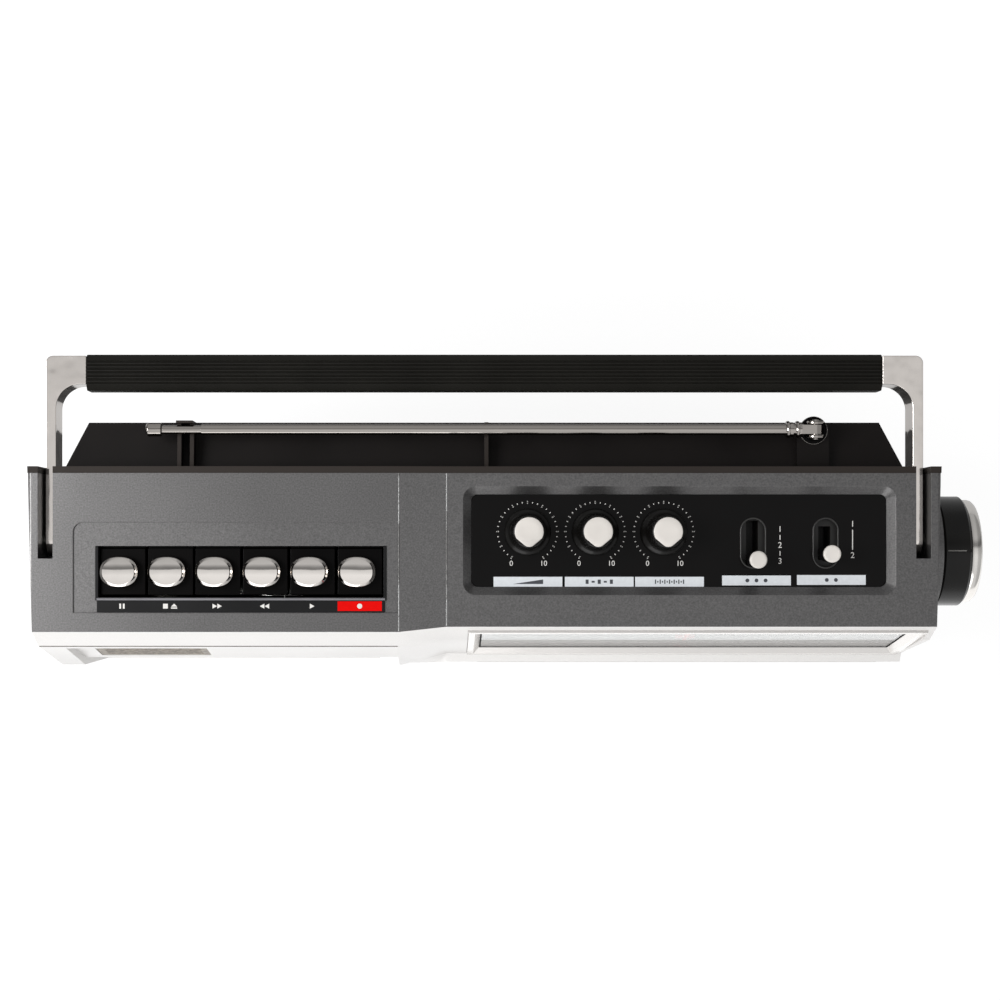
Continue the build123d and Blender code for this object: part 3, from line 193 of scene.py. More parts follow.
def stacked(rings, closed=True):
    """A bmesh of rings with as many points each, joined upwards, with its two ends closed."""
    shape = bmesh.new()
    loops = [[shape.verts.new(point) for point in ring] for ring in rings]
    for low, high in zip(loops, loops[1:]):
        for i in range(len(low)):
            j = (i + 1) % len(low)
            shape.faces.new((low[i], low[j], high[j], high[i]))
    if closed:
        shape.faces.new(loops[0][::-1])
        shape.faces.new(loops[-1])
    bmesh.ops.remove_doubles(shape, verts=shape.verts, dist=1e-7)
    bmesh.ops.recalc_face_normals(shape, faces=shape.faces)
    return shape


def as_piece(name, shape, angle=35, at=Matrix()):
    """Makes a piece of a bmesh, smooth but for edges sharper than an angle, and places it."""
    mesh = bpy.data.meshes.new(name)
    shape.to_mesh(mesh)
    shape.free()
    mesh.shade_smooth()
    mesh.set_sharp_from_angle(angle=math.radians(angle))
    mesh.transform(at)
    return linked(name, mesh)


def bead(name, width, height, start, end):
    """A half-round bead in mm, lying on the plane of two points, from one to the other."""
    start, end = Vector(start), Vector(end)
    up = Vector((0, 0, 1))
    across = (end - start).normalized().cross(up)
    section = [(width / 2 * math.cos(math.pi * i / 8), height * math.sin(math.pi * i / 8))
               for i in range(9)]
    rings = [[tuple(point + across * a + up * b) for a, b in section] for point in (start, end)]
    return as_piece(name, stacked(rings), at=Matrix.Scale(MM, 4))


def maths(tree, operation, *values, kind="Math", output=0):
    """One step of arithmetic on numbers or vectors."""
    return add(tree, "ShaderNode" + kind, dict(enumerate(values)),
               operation=operation).outputs[output]


# Each crease: its place, the drop of the shelf there and its start from the front edge, mm.
CREASES = ((-43.9, 0.0, 0.0), (-25.1, 1.5, 2.0))
CREASE_WIDTH = 0.55
CREASE_HEIGHT = 0.07    # no more than the lacquer's own thickness
SUNK = 0.01             # of the bead's flat underside, mm
HIGHLIGHT_REACH = (6, 24)        # distance from the shelf's middle line over which the painted highlight grows, mm
# The crease beads are a painted highlight where light catches each crease, lighter away from the
# shelf's middle.
crease_highlight, tree, shader, place = new_finish("metallic lacquer rubbed bright on a crease",
                                              Metallic=0.8, Roughness=0.34)
shelf_low, shelf_high = (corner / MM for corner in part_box("cabinet"))
middle_y = (shelf_low.y + shelf_high.y) / 2 * MM
along = add(tree, "ShaderNodeSeparateXYZ", {0: place}).outputs["Y"]
from_middle = maths(tree, "ABSOLUTE", maths(tree, "SUBTRACT", along, middle_y))
highlight_growth = spread(tree, from_middle, low=0.95, high=1.25, ends=(HIGHLIGHT_REACH[0] * MM, HIGHLIGHT_REACH[1] * MM))
patches = maths(tree, "ADD", noise(tree, place, size=1.3, detail=2.0),
                noise(tree, place, size=14, detail=1.0))
painted_highlight = spread(tree, maths(tree, "MULTIPLY", patches, highlight_growth), ends=(0.97, 1.3))
wired(tree, shader, Base_Color=blend(tree, painted_highlight, srgb("#5c5b5a"), srgb("#909090")))
for i, (x, drop, start) in enumerate(CREASES):
    crease_z = shelf_high.z - drop - SUNK
    line = bead(f"shelf_crease_{i + 1}", CREASE_WIDTH, CREASE_HEIGHT,
                (x, shelf_low.y + start + 0.3, crease_z), (x, shelf_high.y - 0.1, crease_z))
    fixed(line, crease_highlight, "housing", slot_of["cabinet"])


# The front panel is moulded in one piece with the strip that frames the shelf, and sprayed in
# a pale silver. It is smoother and lighter than the cabinet, so it reads almost white. A dark
# bead in the seam under its strip is painted shadow; behind the grille it is painted dark as shade.

PALE_SILVER = {"colour": "#eae8e6", "flake": 0.4, "contrast": 0.04, "metallic": 0.1,
               "roughness": 0.34}
front_silver = lacquer("pale silver lacquer, sprayed", **PALE_SILVER)
panel_silver_shaded = lacquer("pale silver lacquer, masked behind the grille", **PALE_SILVER)


def repainted(finish, low, high, colour):
    """Gives a finish another colour inside a box of the piece's own coordinates."""
    tree, shader = finish.node_tree, finish.node_tree.nodes["Principled BSDF"]
    place = add(tree, "ShaderNodeTexCoord").outputs["Object"]
    reach = maths(tree, "SUBTRACT", place, (low + high) / 2, kind="VectorMath")
    reach = maths(tree, "ABSOLUTE", reach, kind="VectorMath")
    reach = maths(tree, "SUBTRACT", reach, (high - low) / 2, kind="VectorMath")
    past = add(tree, "ShaderNodeSeparateXYZ", {0: reach}).outputs
    most = maths(tree, "MAXIMUM", maths(tree, "MAXIMUM", past["X"], past["Y"]), past["Z"])
    plain = shader.inputs["Base Color"].links[0].from_socket
    inside = maths(tree, "LESS_THAN", most, 0.0)
    wired(tree, shader, Base_Color=blend(tree, inside, plain, srgb(colour)))


# The part painted dark as shade starts this far behind the grille's front, ends this far behind its
# rear and reaches this far past its sides, mm.
SHADE_START, SHADE_END, SHADE_SIDE = 2, 30, 3
margin = Vector((SHADE_SIDE, 0, SHADE_SIDE)) * MM
grille_low, grille_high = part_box("speaker_grille")
# Behind the grille the panel is painted near black: painted shade behind the slats.
repainted(panel_silver_shaded,
          Vector((grille_low.x, grille_low.y + SHADE_START * MM, grille_low.z)) - margin,
          Vector((grille_high.x, grille_high.y + SHADE_END * MM, grille_high.z)) + margin,
          "#1b1a19")
eased("front_panel", panel_silver_shaded, width=0.3)

SEAM_WIDTH = 0.5
SEAM_HEIGHT = 0.3
SEAM_FORWARD, SEAM_BELOW = 6.1, 11.8        # its place from the cabinet's front and top, mm
seam_y, seam_z = shelf_low.y - SEAM_FORWARD, shelf_high.z - SEAM_BELOW
# A mottled dark bead along the seam: painted shadow under the strip's lip.
seam_shadow, tree, shader, place = new_finish("lacquer darkened as painted shadow in a seam", Roughness=0.8)
shadow_mottle = noise(tree, place, size=3, detail=4.0)
wired(tree, shader, Base_Color=blend(tree, shadow_mottle, srgb("#403c34"), srgb("#7d786e")))
seam = bead("strip_seam", SEAM_WIDTH, SEAM_HEIGHT, (shelf_low.x + 2.2, seam_y, seam_z),
            (CREASES[0][0] - 0.8, seam_y, seam_z))
fixed(seam, seam_shadow, "housing", slot_of["front_panel"])


# The rear cover is moulded in black plastic with a spark-eroded grain, which keeps it matte.
# The grain is drawn coarser than it is, so that it shows. Its top edge is painted paler: painted
# light.


def moulded(name, colour, roughness, grain=0.45, depth=0.03, sheen=0.5, clouds=24, contrast=0.15):
    """Moulded plastic with a grain in mm, and slow clouds in its tone and gloss from wear."""
    finish, tree, shader, place = new_finish(name, Specular_IOR_Level=sheen)
    fine = noise(tree, place, size=grain, detail=2.0)
    slow = noise(tree, place, size=clouds, detail=3.0)
    wired(tree, shader,
          Base_Color=blend(tree, spread(tree, slow), srgb(colour, 1 - contrast),
                           srgb(colour, 1 + contrast)),
          Roughness=spread(tree, slow, roughness - 0.06, roughness + 0.06),
          Normal=relief(tree, fine, depth, strength=0.6))
    return finish


def kept(node, finish):
    """Gives a CAD node that shows as it is its finish."""
    for socket in frame["nodes"][node].material_slots:
        socket.material = finish


COVER_LIT_EDGE = 8          # depth of the edge painted paler as painted light, mm
cover_black_lit_top = moulded("black ABS, spark-eroded grain, painted paler along its top", "#161312", roughness=0.5, sheen=0.12)
cover_low, cover_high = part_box("rear_cover")
repainted(cover_black_lit_top,
          Vector((cover_low.x, cover_low.y, cover_high.z - COVER_LIT_EDGE * MM)) - margin,
          cover_high + margin, "#302b28")
eased("rear_cover", cover_black_lit_top, width=0.3)


# Battery compartment: a black tray behind a clip-on lid, with nickelled leaf springs. The lid
# has the cover's grain, and the springs are bright from sliding against the cells.

eased("battery_door", cover_black_lit_top, width=0.3)
kept("battery_box", moulded("black ABS, plain", "#1d1b1a", roughness=0.5))


def bare_metal(name, colour, roughness, grain):
    """Plain metal with fine marks of a size in mm, from rolling, drawing or turning."""
    finish, tree, shader, place = new_finish(name, Metallic=1.0)
    marks = noise(tree, place, size=grain, detail=4.0)
    wired(tree, shader,
          Base_Color=blend(tree, marks, srgb(colour, 0.8), srgb(colour, 1.1)),
          Roughness=spread(tree, marks, roughness - 0.08, roughness + 0.08))
    return finish


spring_nickel = bare_metal("nickel-plated spring steel, rolled", "#c9c6be", roughness=0.28,
                           grain=1.2)
kept("battery_contacts", spring_nickel)


# Handle: two pressed steel arms, polished and chromed, with a ribbed black grip clamped
# between their corners. Chrome shows the room sharply, with a faint waviness and finger marks.


def chrome(name, colour, roughness):
    """Polished plating with a long ripple and faint smears in its gloss."""
    finish, tree, shader, place = new_finish(name, Metallic=1.0)
    shader.inputs["Base Color"].default_value = srgb(colour)
    smears = noise(tree, place, size=5, detail=6.0)
    wired(tree, shader,
          Roughness=spread(tree, smears, roughness, roughness + 0.07, ends=(0.35, 0.75)),
          Normal=relief(tree, noise(tree, place, size=9, detail=1.0), depth=0.2, strength=0.7))
    return finish


bright_chrome = chrome("chrome plate, polished", "#dcd6d1", roughness=0.07)
for side in ("left", "right"):
    eased(f"handle_arm_{side}", bright_chrome, width=0.3)
grip_black = moulded("black PVC, extruded", "#1a1916", roughness=0.45, grain=0.8, sheen=0.12)
eased("handle_grip", grip_black, width=0.2)
kept("handle_pivots", bare_metal("steel rod, drawn", "#a9a7a3", roughness=0.3, grain=0.8))


# Six piano keys: black finger blocks on one steel shaft, each with a chromed cap. The caps are
# rounded at both ends, bevelled all round and slightly barrelled, so that each shows a horizon.

KEYS = ("pause", "stop", "forward", "rewind", "play", "record")
CAP_RIM = 1.35          # width of the bevel round the face, mm
CAP_CROWN = 0.9         # fall of the face from its middle to its front edge, mm
CAP_POWER = 2.35        # how square the outline's corners are
CAP_POINTS = 72
# Inset of the cap's side, with the height above its foot or the depth below its face, mm.
CAP_FOOT = ((0.25, 0.0), (0.0, 0.5))
CAP_SHOULDER = ((0.0, 2.4), (0.1, 2.0), (0.4, 1.5), (CAP_RIM - 0.3, 1.0))
FACE_SHARES = (1.0, 0.97, 0.85, 0.7, 0.5, 0.3, 0.12, 0.02)      # rings of the face, to its middle


def cap_outline(half_w, half_d):
    """Outline with full round ends and a nearly flat front and rear, about the middle."""
    points = []
    for i in range(CAP_POINTS):
        turn = 2 * math.pi * (i + 0.5) / CAP_POINTS
        across, along = math.cos(turn), math.sin(turn)
        points.append((half_w * math.copysign(abs(across) ** (2 / CAP_POWER), across),
                       half_d * math.copysign(abs(along) ** (2 / CAP_POWER), along)))
    return points


def placed(x, y, z):
    """Puts a shape that is drawn in mm at a point in metres."""
    return Matrix.Translation((x, y, z)) @ Matrix.Scale(MM, 4)


key_black = moulded("black ABS, glossy tool", "#070606", roughness=0.3, sheen=0.05)
cap_chrome = chrome("chrome on ABS, plated", "#e4dfda", roughness=0.05)
for key in KEYS:
    eased(f"{key}_key", key_black, width=0.35)
    low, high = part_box(f"{key}_key_cap")
    middle = (low + high) / 2
    half_w, half_d = (high.x - low.x) / 2 / MM, (high.y - low.y) / 2 / MM
    height = (high.z - low.z) / MM
    side = [*CAP_FOOT, *((inset, height - below) for inset, below in CAP_SHOULDER)]
    rings = [[(x, y, z) for x, y in cap_outline(half_w - inset, half_d - inset)]
             for inset, z in side]
    face_d = half_d - CAP_RIM
    face = cap_outline(half_w - CAP_RIM, face_d)
    rings += [[(x * share, y * share, height - CAP_CROWN * (y * share / face_d) ** 2)
               for x, y in face] for share in FACE_SHARES]
    cap = as_piece(f"{key}_cap_plated", stacked(rings), angle=50,
                   at=placed(middle.x, middle.y, low.z))
    fixed(cap, cap_chrome, f"{key}_key_body", slot_of[f"{key}_key_cap"], f"{key}_key_cap")
kept("key_shaft", bare_metal("steel rod, turned", "#a3a19d", roughness=0.3, grain=0.6))


# Frame of the key well, moulded in black, with a bar that carries one printed sign per key.
# The recording key's sign is white on a red panel, as on any such machine.

frame_black = moulded("black ABS, satin", "#161617", roughness=0.4, sheen=0.15)
eased("key_surround", frame_black, width=0.18)
PRINT = 0.03            # thickness of ink, mm


def prism(points, thickness):
    """A flat shape from an outline in mm, standing on z = 0."""
    return stacked([[(x, y, z) for x, y in points] for z in (0.0, thickness)])


def joined(shapes):
    """One bmesh from several (bmesh, matrix) pairs."""
    whole = bmesh.new()
    for shape, matrix in shapes:
        mesh = bpy.data.meshes.new("part")
        shape.to_mesh(mesh)
        shape.free()
        mesh.transform(matrix)
        whole.from_mesh(mesh)
        bpy.data.meshes.remove(mesh)
    return whole


def rectangle(w, h, x=0.0, y=0.0):
    """A rectangle about a point."""
    return [(x - w / 2, y - h / 2), (x + w / 2, y - h / 2), (x + w / 2, y + h / 2),
            (x - w / 2, y + h / 2)]


def triangle(x, way):
    """A triangle, 2 mm high, that points right or left from x."""
    tip = [(x, -1), (x + way * 1.8, 0), (x, 1)]
    return tip if way > 0 else tip[::-1]


def disc(r, x=0.0):
    """A disc about a point on the X axis."""
    return [(x + r * math.cos(2 * math.pi * i / 24), r * math.sin(2 * math.pi * i / 24))
            for i in range(24)]


SIGNS = {
    "pause": [rectangle(0.7, 2, -0.7), rectangle(0.7, 2, 0.7)],
    "stop": [rectangle(1.9, 1.9, -1.6), [(0.6, -0.2), (3.0, -0.2), (1.8, 1.0)],
             rectangle(2.4, 0.5, 1.8, -0.75)],
    "forward": [triangle(-1.8, 1), triangle(0.1, 1)],
    "rewind": [triangle(-0.1, -1), triangle(1.8, -1)],
    "play": [triangle(-0.9, 1)],
    "record": [disc(1.0)],
}
SIGN_AT = 2.45          # middle of the signs from the frame's front edge, mm
RED_PANEL = (17.4, 3.8)
bar_low, bar_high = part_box("key_surround")
sign_y = bar_low.y + SIGN_AT * MM
signs = []
for key, shapes in SIGNS.items():
    low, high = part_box(f"{key}_key")
    lift = 2 * PRINT * MM if key == "record" else PRINT * MM
    for outline in shapes:
        signs.append((prism(outline, PRINT), placed((low.x + high.x) / 2, sign_y,
                                                    bar_high.z + lift - PRINT * MM / 2)))


def ink(name, colour, sheen=0.3):
    """Screen ink, whose film is uneven over a millimetre or so, from the printing cloth."""
    return moulded(name, colour, roughness=0.45, grain=0.3, depth=0.004, sheen=sheen,
                   clouds=1.4, contrast=0.04)


white_ink = ink("white screen ink, printed", "#dcdad6")
fixed(as_piece("key_signs", joined(signs)), white_ink, "housing", slot_of["key_surround"])
red_ink = ink("red screen ink, printed", "#db0805", sheen=0.05)
low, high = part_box("record_key")
panel = as_piece("record_sign_panel", prism(rectangle(*RED_PANEL), 2 * PRINT),
                 at=placed((low.x + high.x) / 2, sign_y, bar_high.z - PRINT * MM / 2))
fixed(panel, red_ink, "housing", slot_of["key_surround"])

BEAD_WIDTH = 1.0
BEAD_HEIGHT = 0.5
BEAD_INSET = 0.6        # of its ends from the frame's sides, mm
BEAD_FORWARD = 1.6      # of its middle from the keys' front, mm
bead_y, bead_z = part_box("play_key")[0].y / MM - BEAD_FORWARD, bar_high.z / MM - 0.05
strip = bead("sign_bead", BEAD_WIDTH, BEAD_HEIGHT, (bar_low.x / MM + BEAD_INSET, bead_y, bead_z),
             (bar_high.x / MM - BEAD_INSET, bead_y, bead_z))
bead_grey = moulded("grey ABS, satin bead", "#77767a", roughness=0.4)
fixed(strip, bead_grey, "housing", slot_of["key_surround"])


# Control plate: gloss black sheet let into the shelf. A ring of ticks goes round each knob, the
# switch slots have raised rims, and each white panel bears a plain picture: a wedge, bars or
# dots. All print is screened on.

plate_black = moulded("black acrylic sheet, polished", "#0c0b0b", roughness=0.16, grain=6.0,
                      depth=0.004, sheen=0.1)
eased("control_plate", plate_black, width=0.2)
plate_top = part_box("control_plate")[1].z
KNOBS = ("volume", "bass", "treble")
TICK_RADIUS = 11.8
TICK_SPAN = math.radians(296)
TICK_SIZES = ((31, (0.55, 0.32, PRINT)), (11, (1.0, 0.4, PRINT)))   # how many, and size in mm
KNOB_FIGURE = 2.9       # height of the figures at the knobs, mm
KNOB_FIGURE_AT = (6.4, 12.4)        # their place beside and in front of the axis, mm
SWITCH_FIGURE = 3.3
SWITCH_FIGURE_AT = (10.6, -0.6)
SWITCH_PLACES = {"function": (3, 6.3), "band": (2, 12.4)}       # how many, and their pitch in mm


def bar_ring_tree():
    """Node tree: a ring of upright bars, each pointing outwards."""
    tree = bpy.data.node_groups.new("bar ring", "GeometryNodeTree")
    tree.interface.new_socket("Geometry", in_out="OUTPUT", socket_type="NodeSocketGeometry")
    for name, kind in (("Count", "Int"), ("Radius", "Float"), ("Start", "Float"),
                       ("Step", "Float"), ("Bar", "Vector"), ("Finish", "Material")):
        tree.interface.new_socket(name, in_out="INPUT", socket_type="NodeSocket" + kind)
    given = add(tree, "NodeGroupInput").outputs
    index = add(tree, "GeometryNodeInputIndex").outputs[0]
    turn = maths(tree, "MULTIPLY_ADD", index, given["Step"], given["Start"])
    way = add(tree, "ShaderNodeCombineXYZ", {"X": maths(tree, "COSINE", turn),
                                             "Y": maths(tree, "SINE", turn)})
    spot = add(tree, "ShaderNodeVectorMath", {0: way.outputs[0], "Scale": given["Radius"]},
               operation="SCALE")
    dots = add(tree, "GeometryNodePoints", {"Count": given["Count"], "Position": spot.outputs[0]})
    bar = add(tree, "GeometryNodeMeshCube", {"Size": given["Bar"]})
    facing = add(tree, "ShaderNodeCombineXYZ", {"Z": turn})
    bars = add(tree, "GeometryNodeInstanceOnPoints", {
        "Points": dots.outputs[0], "Instance": bar.outputs[0], "Rotation": facing.outputs[0]})
    plain = add(tree, "GeometryNodeRealizeInstances", {0: bars.outputs[0]})
    dressed = add(tree, "GeometryNodeSetMaterial", {"Geometry": plain.outputs[0],
                                                    "Material": given["Finish"]})
    add(tree, "NodeGroupOutput", {0: dressed.outputs[0]})
    return tree


def as_shape(carrier):
    """A bmesh of what a carrier comes to. The carrier is taken away."""
    mesh = plain_mesh(carrier)
    bpy.data.objects.remove(carrier)
    shape = bmesh.new()
    shape.from_mesh(mesh)
    bpy.data.meshes.remove(mesh)
    return shape


def grown(name, tree, **inputs):
    """A bmesh of what a node tree makes with its named inputs."""
    carrier = linked(name, bpy.data.meshes.new(name))
    modifier = carrier.modifiers.new(name, "NODES")
    modifier.node_group = tree
    sockets = {item.name: item.identifier for item in tree.interface.items_tree
               if item.in_out == "INPUT"}
    for title, value in inputs.items():
        modifier[sockets[title]] = value
    return as_shape(carrier)


def numeral(text, size):
    """A printed numeral as a flat bmesh in mm, centred on the origin."""
    curve = bpy.data.curves.new(text, "FONT")
    curve.body = text
    curve.size = size
    curve.align_x = "CENTER"
    curve.align_y = "CENTER"
    curve.extrude = PRINT / 2
    return as_shape(linked("numeral", curve))


def on_plate(x, y, lift=0.0):
    """Puts a shape that is drawn in mm on the control plate, at a point in metres."""
    return placed(x, y, plate_top + lift * MM)


bar_ring = bar_ring_tree()
marks = []
for knob in KNOBS:
    low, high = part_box(f"{knob}_knob")
    middle = (low + high) / 2
    start = math.pi / 2 - TICK_SPAN / 2
    for count, bar in TICK_SIZES:
        ticks = grown(f"{knob}_ticks", bar_ring, Count=count, Radius=TICK_RADIUS, Start=start,
                      Step=TICK_SPAN / (count - 1), Bar=bar, Finish=white_ink)
        marks.append((ticks, on_plate(middle.x, middle.y, PRINT / 2)))
    for side, text in ((-1, "0"), (1, "10")):
        marks.append((numeral(text, KNOB_FIGURE),
                      on_plate(middle.x + side * KNOB_FIGURE_AT[0] * MM,
                               middle.y - KNOB_FIGURE_AT[1] * MM, PRINT / 2)))
for switch, (places, pitch) in SWITCH_PLACES.items():
    low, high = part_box(f"{switch}_slider")
    x = (low.x + high.x) / 2 + SWITCH_FIGURE_AT[0] * MM
    y = (low.y + high.y) / 2 + SWITCH_FIGURE_AT[1] * MM
    for i in range(places):
        marks.append((numeral(str(places - i), SWITCH_FIGURE),
                      on_plate(x, y + i * pitch * MM, PRINT / 2)))
        if i:
            stroke = rectangle(0.35, pitch - 4.5)
            marks.append((prism(stroke, PRINT), on_plate(x, y + (i - 0.5) * pitch * MM)))
fixed(as_piece("control_marks", joined(marks)), white_ink, "housing", slot_of["control_plate"])


def bars_in_row(count):
    """Upright bars over 12 mm, high and low in turn."""
    return [rectangle(6 / count, 0.7 if i % 2 else 1.7, (i - (count - 1) / 2) * 12 / count)
            for i in range(count)]


def dots_in_row(count):
    """Dots that stand 3.6 mm apart."""
    return [disc(0.75, (i - (count - 1) / 2) * 3.6) for i in range(count)]


# Each panel: its control's node, its middle to the right of and behind that, mm, and its picture.
PANELS = (
    ("volume_knob", 0.2, -19.6, [[(-6, -0.9), (6, -0.9), (6, 0.9)]]),
    ("bass_knob", 1.6, -19.6, bars_in_row(5)),
    ("treble_knob", 2.3, -19.6, bars_in_row(13)),
    ("function_slider", 1.3, -8.2, dots_in_row(3)),
    ("band_slider", 2.2, -10.3, dots_in_row(2)),
)
PANEL_SIZE = (27.2, 3.9)
panels, pictures = [], []
for node, beside, behind, picture in PANELS:
    low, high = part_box(node)
    x, y = (low.x + high.x) / 2 + beside * MM, (low.y + high.y) / 2 + behind * MM
    panels.append((prism(rectangle(*PANEL_SIZE), PRINT), on_plate(x, y)))
    pictures += [(prism(outline, PRINT), on_plate(x, y, PRINT)) for outline in picture]
panel_white = ink("cool white screen ink, printed", "#dce0e4")
fixed(as_piece("control_panels", joined(panels)), panel_white, "housing", slot_of["control_plate"])
dark_ink = ink("dark grey screen ink, printed", "#45474d")
fixed(as_piece("control_pictures", joined(pictures)), dark_ink, "housing", slot_of["control_plate"])

RIM_R = 0.35            # radius of the raised rim round each switch slot, mm
RIM_OUT = 0.2           # distance of its middle line from the slot's edge, mm
SLOT_END = 4.7          # radius of a slot's round ends, mm
SLOT_STRAIGHT = 4.9     # half the distance of their middles, mm


def slot_rim():
    """A half-round rim about a slot with round ends, open underneath."""
    track = []
    for i in range(64):
        turn = 2 * math.pi * i / 64
        shift = SLOT_STRAIGHT if math.sin(turn) > 0 else -SLOT_STRAIGHT
        reach = SLOT_END + RIM_OUT
        track.append((reach * math.cos(turn), reach * math.sin(turn) + shift))
    rings = []
    for k in range(9):
        tilt = math.pi * k / 8
        rise, out = RIM_R * math.sin(tilt), -RIM_R * math.cos(tilt)
        rings.append([(x + out * x / SLOT_END,
                       y + out * (y - math.copysign(1, y) * SLOT_STRAIGHT) / SLOT_END, rise)
                      for x, y in track])
    return stacked(rings, closed=False)


SLOT_TRAVEL = {"function": 13.2, "band": 8.6}       # how far each switch slides, mm
rims = []
for switch, travel in SLOT_TRAVEL.items():
    low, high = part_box(f"{switch}_slider")
    x, y = (low.x + high.x) / 2, (low.y + high.y) / 2 + travel / 2 * MM
    rims.append((slot_rim(), on_plate(x, y, -0.05)))
rim_black = moulded("black ABS, satin rim", "#2a2928", roughness=0.35)
fixed(as_piece("slot_rims", joined(rims)), rim_black, "housing", slot_of["control_plate"])


# Three knobs: black skirts drawn in to a narrow body, each with a white inlay that has a short
# pointer at its front. They are turned by the fingertips, so their tops are polished.


def lathe(profile, steps=72):
    """A bmesh turned about Z from (radius, height) points in mm, closed at the axis."""
    rings = []
    for r, z in profile:
        r = max(r, 1e-4)
        rings.append([(r * math.cos(2 * math.pi * i / steps), r * math.sin(2 * math.pi * i / steps),
                       z) for i in range(steps)])
    return stacked(rings)


KNOB_HEIGHT = 16.0      # from the skirt's foot to the top of the inlay, mm
INLAY_ARC = (-28, 236)  # start and sweep of the inlay's round part, degrees
POINTER = ((-0.3, -0.96), (-0.16, -1.04), (0, -1.06), (0.16, -1.04), (0.3, -0.96))
INLAY_LAYERS = ((1.0, 0.0), (1.0, 0.9), (0.985, 1.08), (0.95, 1.18), (0.6, 1.2), (0.05, 1.2))
knob_black = moulded("black phenolic, polished", "#0f0e0d", roughness=0.26, grain=3.0,
                     depth=0.004, sheen=0.25)
cap_white = moulded("white urea resin, polished", "#dad5cf", roughness=0.3, grain=2.0,
                    depth=0.003)
for knob in KNOBS:
    low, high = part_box(f"{knob}_knob")
    cap_low, cap_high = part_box(f"{knob}_knob_cap")
    middle = (low + high) / 2
    radius = (high.x - low.x) / 2 / MM
    foot = cap_high.z - KNOB_HEIGHT * MM
    seat = (cap_low.z - cap_high.z) / MM + KNOB_HEIGHT
    skirt = [(0, 0.1), (radius - 0.5, 0), (radius - 0.1, 0.3), (radius, 0.8), (radius - 0.1, 1.5),
             (radius - 0.7, 2.0), (7.8, 2.6), (7.0, 3.6), (6.7, 5.2), (6.45, 8.0),
             (6.3, seat - 0.8), (6.1, seat - 0.25), (5.8, seat), (0, seat)]
    body = as_piece(f"{knob}_knob_turned", lathe(skirt), angle=60,
                    at=placed(middle.x, middle.y, foot))
    fixed(body, knob_black, f"{knob}_knob_body", slot_of[f"{knob}_knob"], f"{knob}_knob")
    inlay_r = (cap_high.x - cap_low.x) / 2 / MM
    turns = [math.radians(INLAY_ARC[0] + INLAY_ARC[1] * i / 60) for i in range(61)]
    face = [(inlay_r * math.cos(turn), inlay_r * math.sin(turn)) for turn in turns]
    face += [(inlay_r * x, inlay_r * y) for x, y in POINTER]
    layers = [[(x * share, y * share, z) for x, y in face] for share, z in INLAY_LAYERS]
    inlay = as_piece(f"{knob}_inlay", stacked(layers), angle=50,
                     at=placed(middle.x, middle.y, cap_low.z))
    fixed(inlay, cap_white, f"{knob}_knob_body", slot_of[f"{knob}_knob_cap"], f"{knob}_knob_cap")


# Two slide switches: a black stem on the switch's square neck, with a white button pressed on
# its top. The button's edge is softly rounded.

ABOVE_NECK = 13         # height of the rest of the stem with its button, mm
for switch in ("function", "band"):
    low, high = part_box(f"{switch}_slider")
    middle = (low + high) / 2
    radius = (high.x - low.x) / 2 / MM
    tall = (high.z - low.z) / MM
    stem = [(0, 0), (1.9, 0), (1.9, tall - ABOVE_NECK), (radius - 0.3, tall - ABOVE_NECK + 0.1),
            (radius - 0.5, tall - 1.8), (0, tall - 1.8)]
    button = [(0, tall - 1.9), (radius - 0.15, tall - 1.9), (radius, tall - 1.6),
              (radius, tall - 0.5), (radius - 0.15, tall - 0.2), (radius - 0.5, tall - 0.02),
              (radius - 1, tall), (0, tall)]
    for name, profile, finish, nodes in (
            (f"{switch}_stem", stem, key_black, (f"{switch}_slider",)),
            (f"{switch}_button", button, cap_white, ())):
        piece = as_piece(name, lathe(profile, steps=48), angle=50,
                         at=placed(middle.x, middle.y, low.z))
        fixed(piece, finish, f"{switch}_switch_body", slot_of[f"{switch}_slider"], *nodes)


# Main board: a punched sheet of brown phenolic under the shelf, with the black bodies of the
# potentiometers and switches on it. The tuning gang beside it is stamped from plated steel.

BOARD = 1.7             # thickness of the bare sheet, mm
board_brown = moulded("phenolic board, punched, with black parts above it", "#7a5326",
                      roughness=0.45, grain=1.5)
low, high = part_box("main_board")
repainted(board_brown, Vector((low.x, low.y, low.z + BOARD * MM)), high + margin, "#121110")
kept("main_board", board_brown)
kept("tuning_gang", bare_metal("zinc-plated steel, stamped", "#b2b0aa", roughness=0.35, grain=1.5))


# Tuning knob: a smooth black rim with a grey line in its index groove, closed by a polished cap
# with a rolled edge. The cap is turned on a lathe, so its face has concentric lines, which are
# drawn coarser than real ones so that they show.

INDEX_LINE = (7.6, 0.5)
INDEX_AT = (6.2, 0.8)   # its middle inwards from the cap, and its depth in the groove, mm
low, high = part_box("tuning_knob")
cap_low, cap_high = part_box("tuning_knob_cap")
axis_y, axis_z = (low.y + high.y) / 2, (low.z + high.z) / 2
to_knob = (Matrix.Translation((0, axis_y, axis_z)) @ Matrix.Rotation(math.radians(90), 4, "Y")
           @ Matrix.Scale(MM, 4))
eased("tuning_knob", knob_black, width=0.4, segments=3)
index = as_piece("tuning_index", prism(rectangle(*INDEX_LINE), PRINT),
                 at=placed(cap_low.x - INDEX_AT[0] * MM, axis_y, high.z - INDEX_AT[1] * MM))
grey_ink = ink("grey screen ink, worn", "#8b8986")
fixed(index, grey_ink, "tuning_dial_knob", slot_of["tuning_knob"])

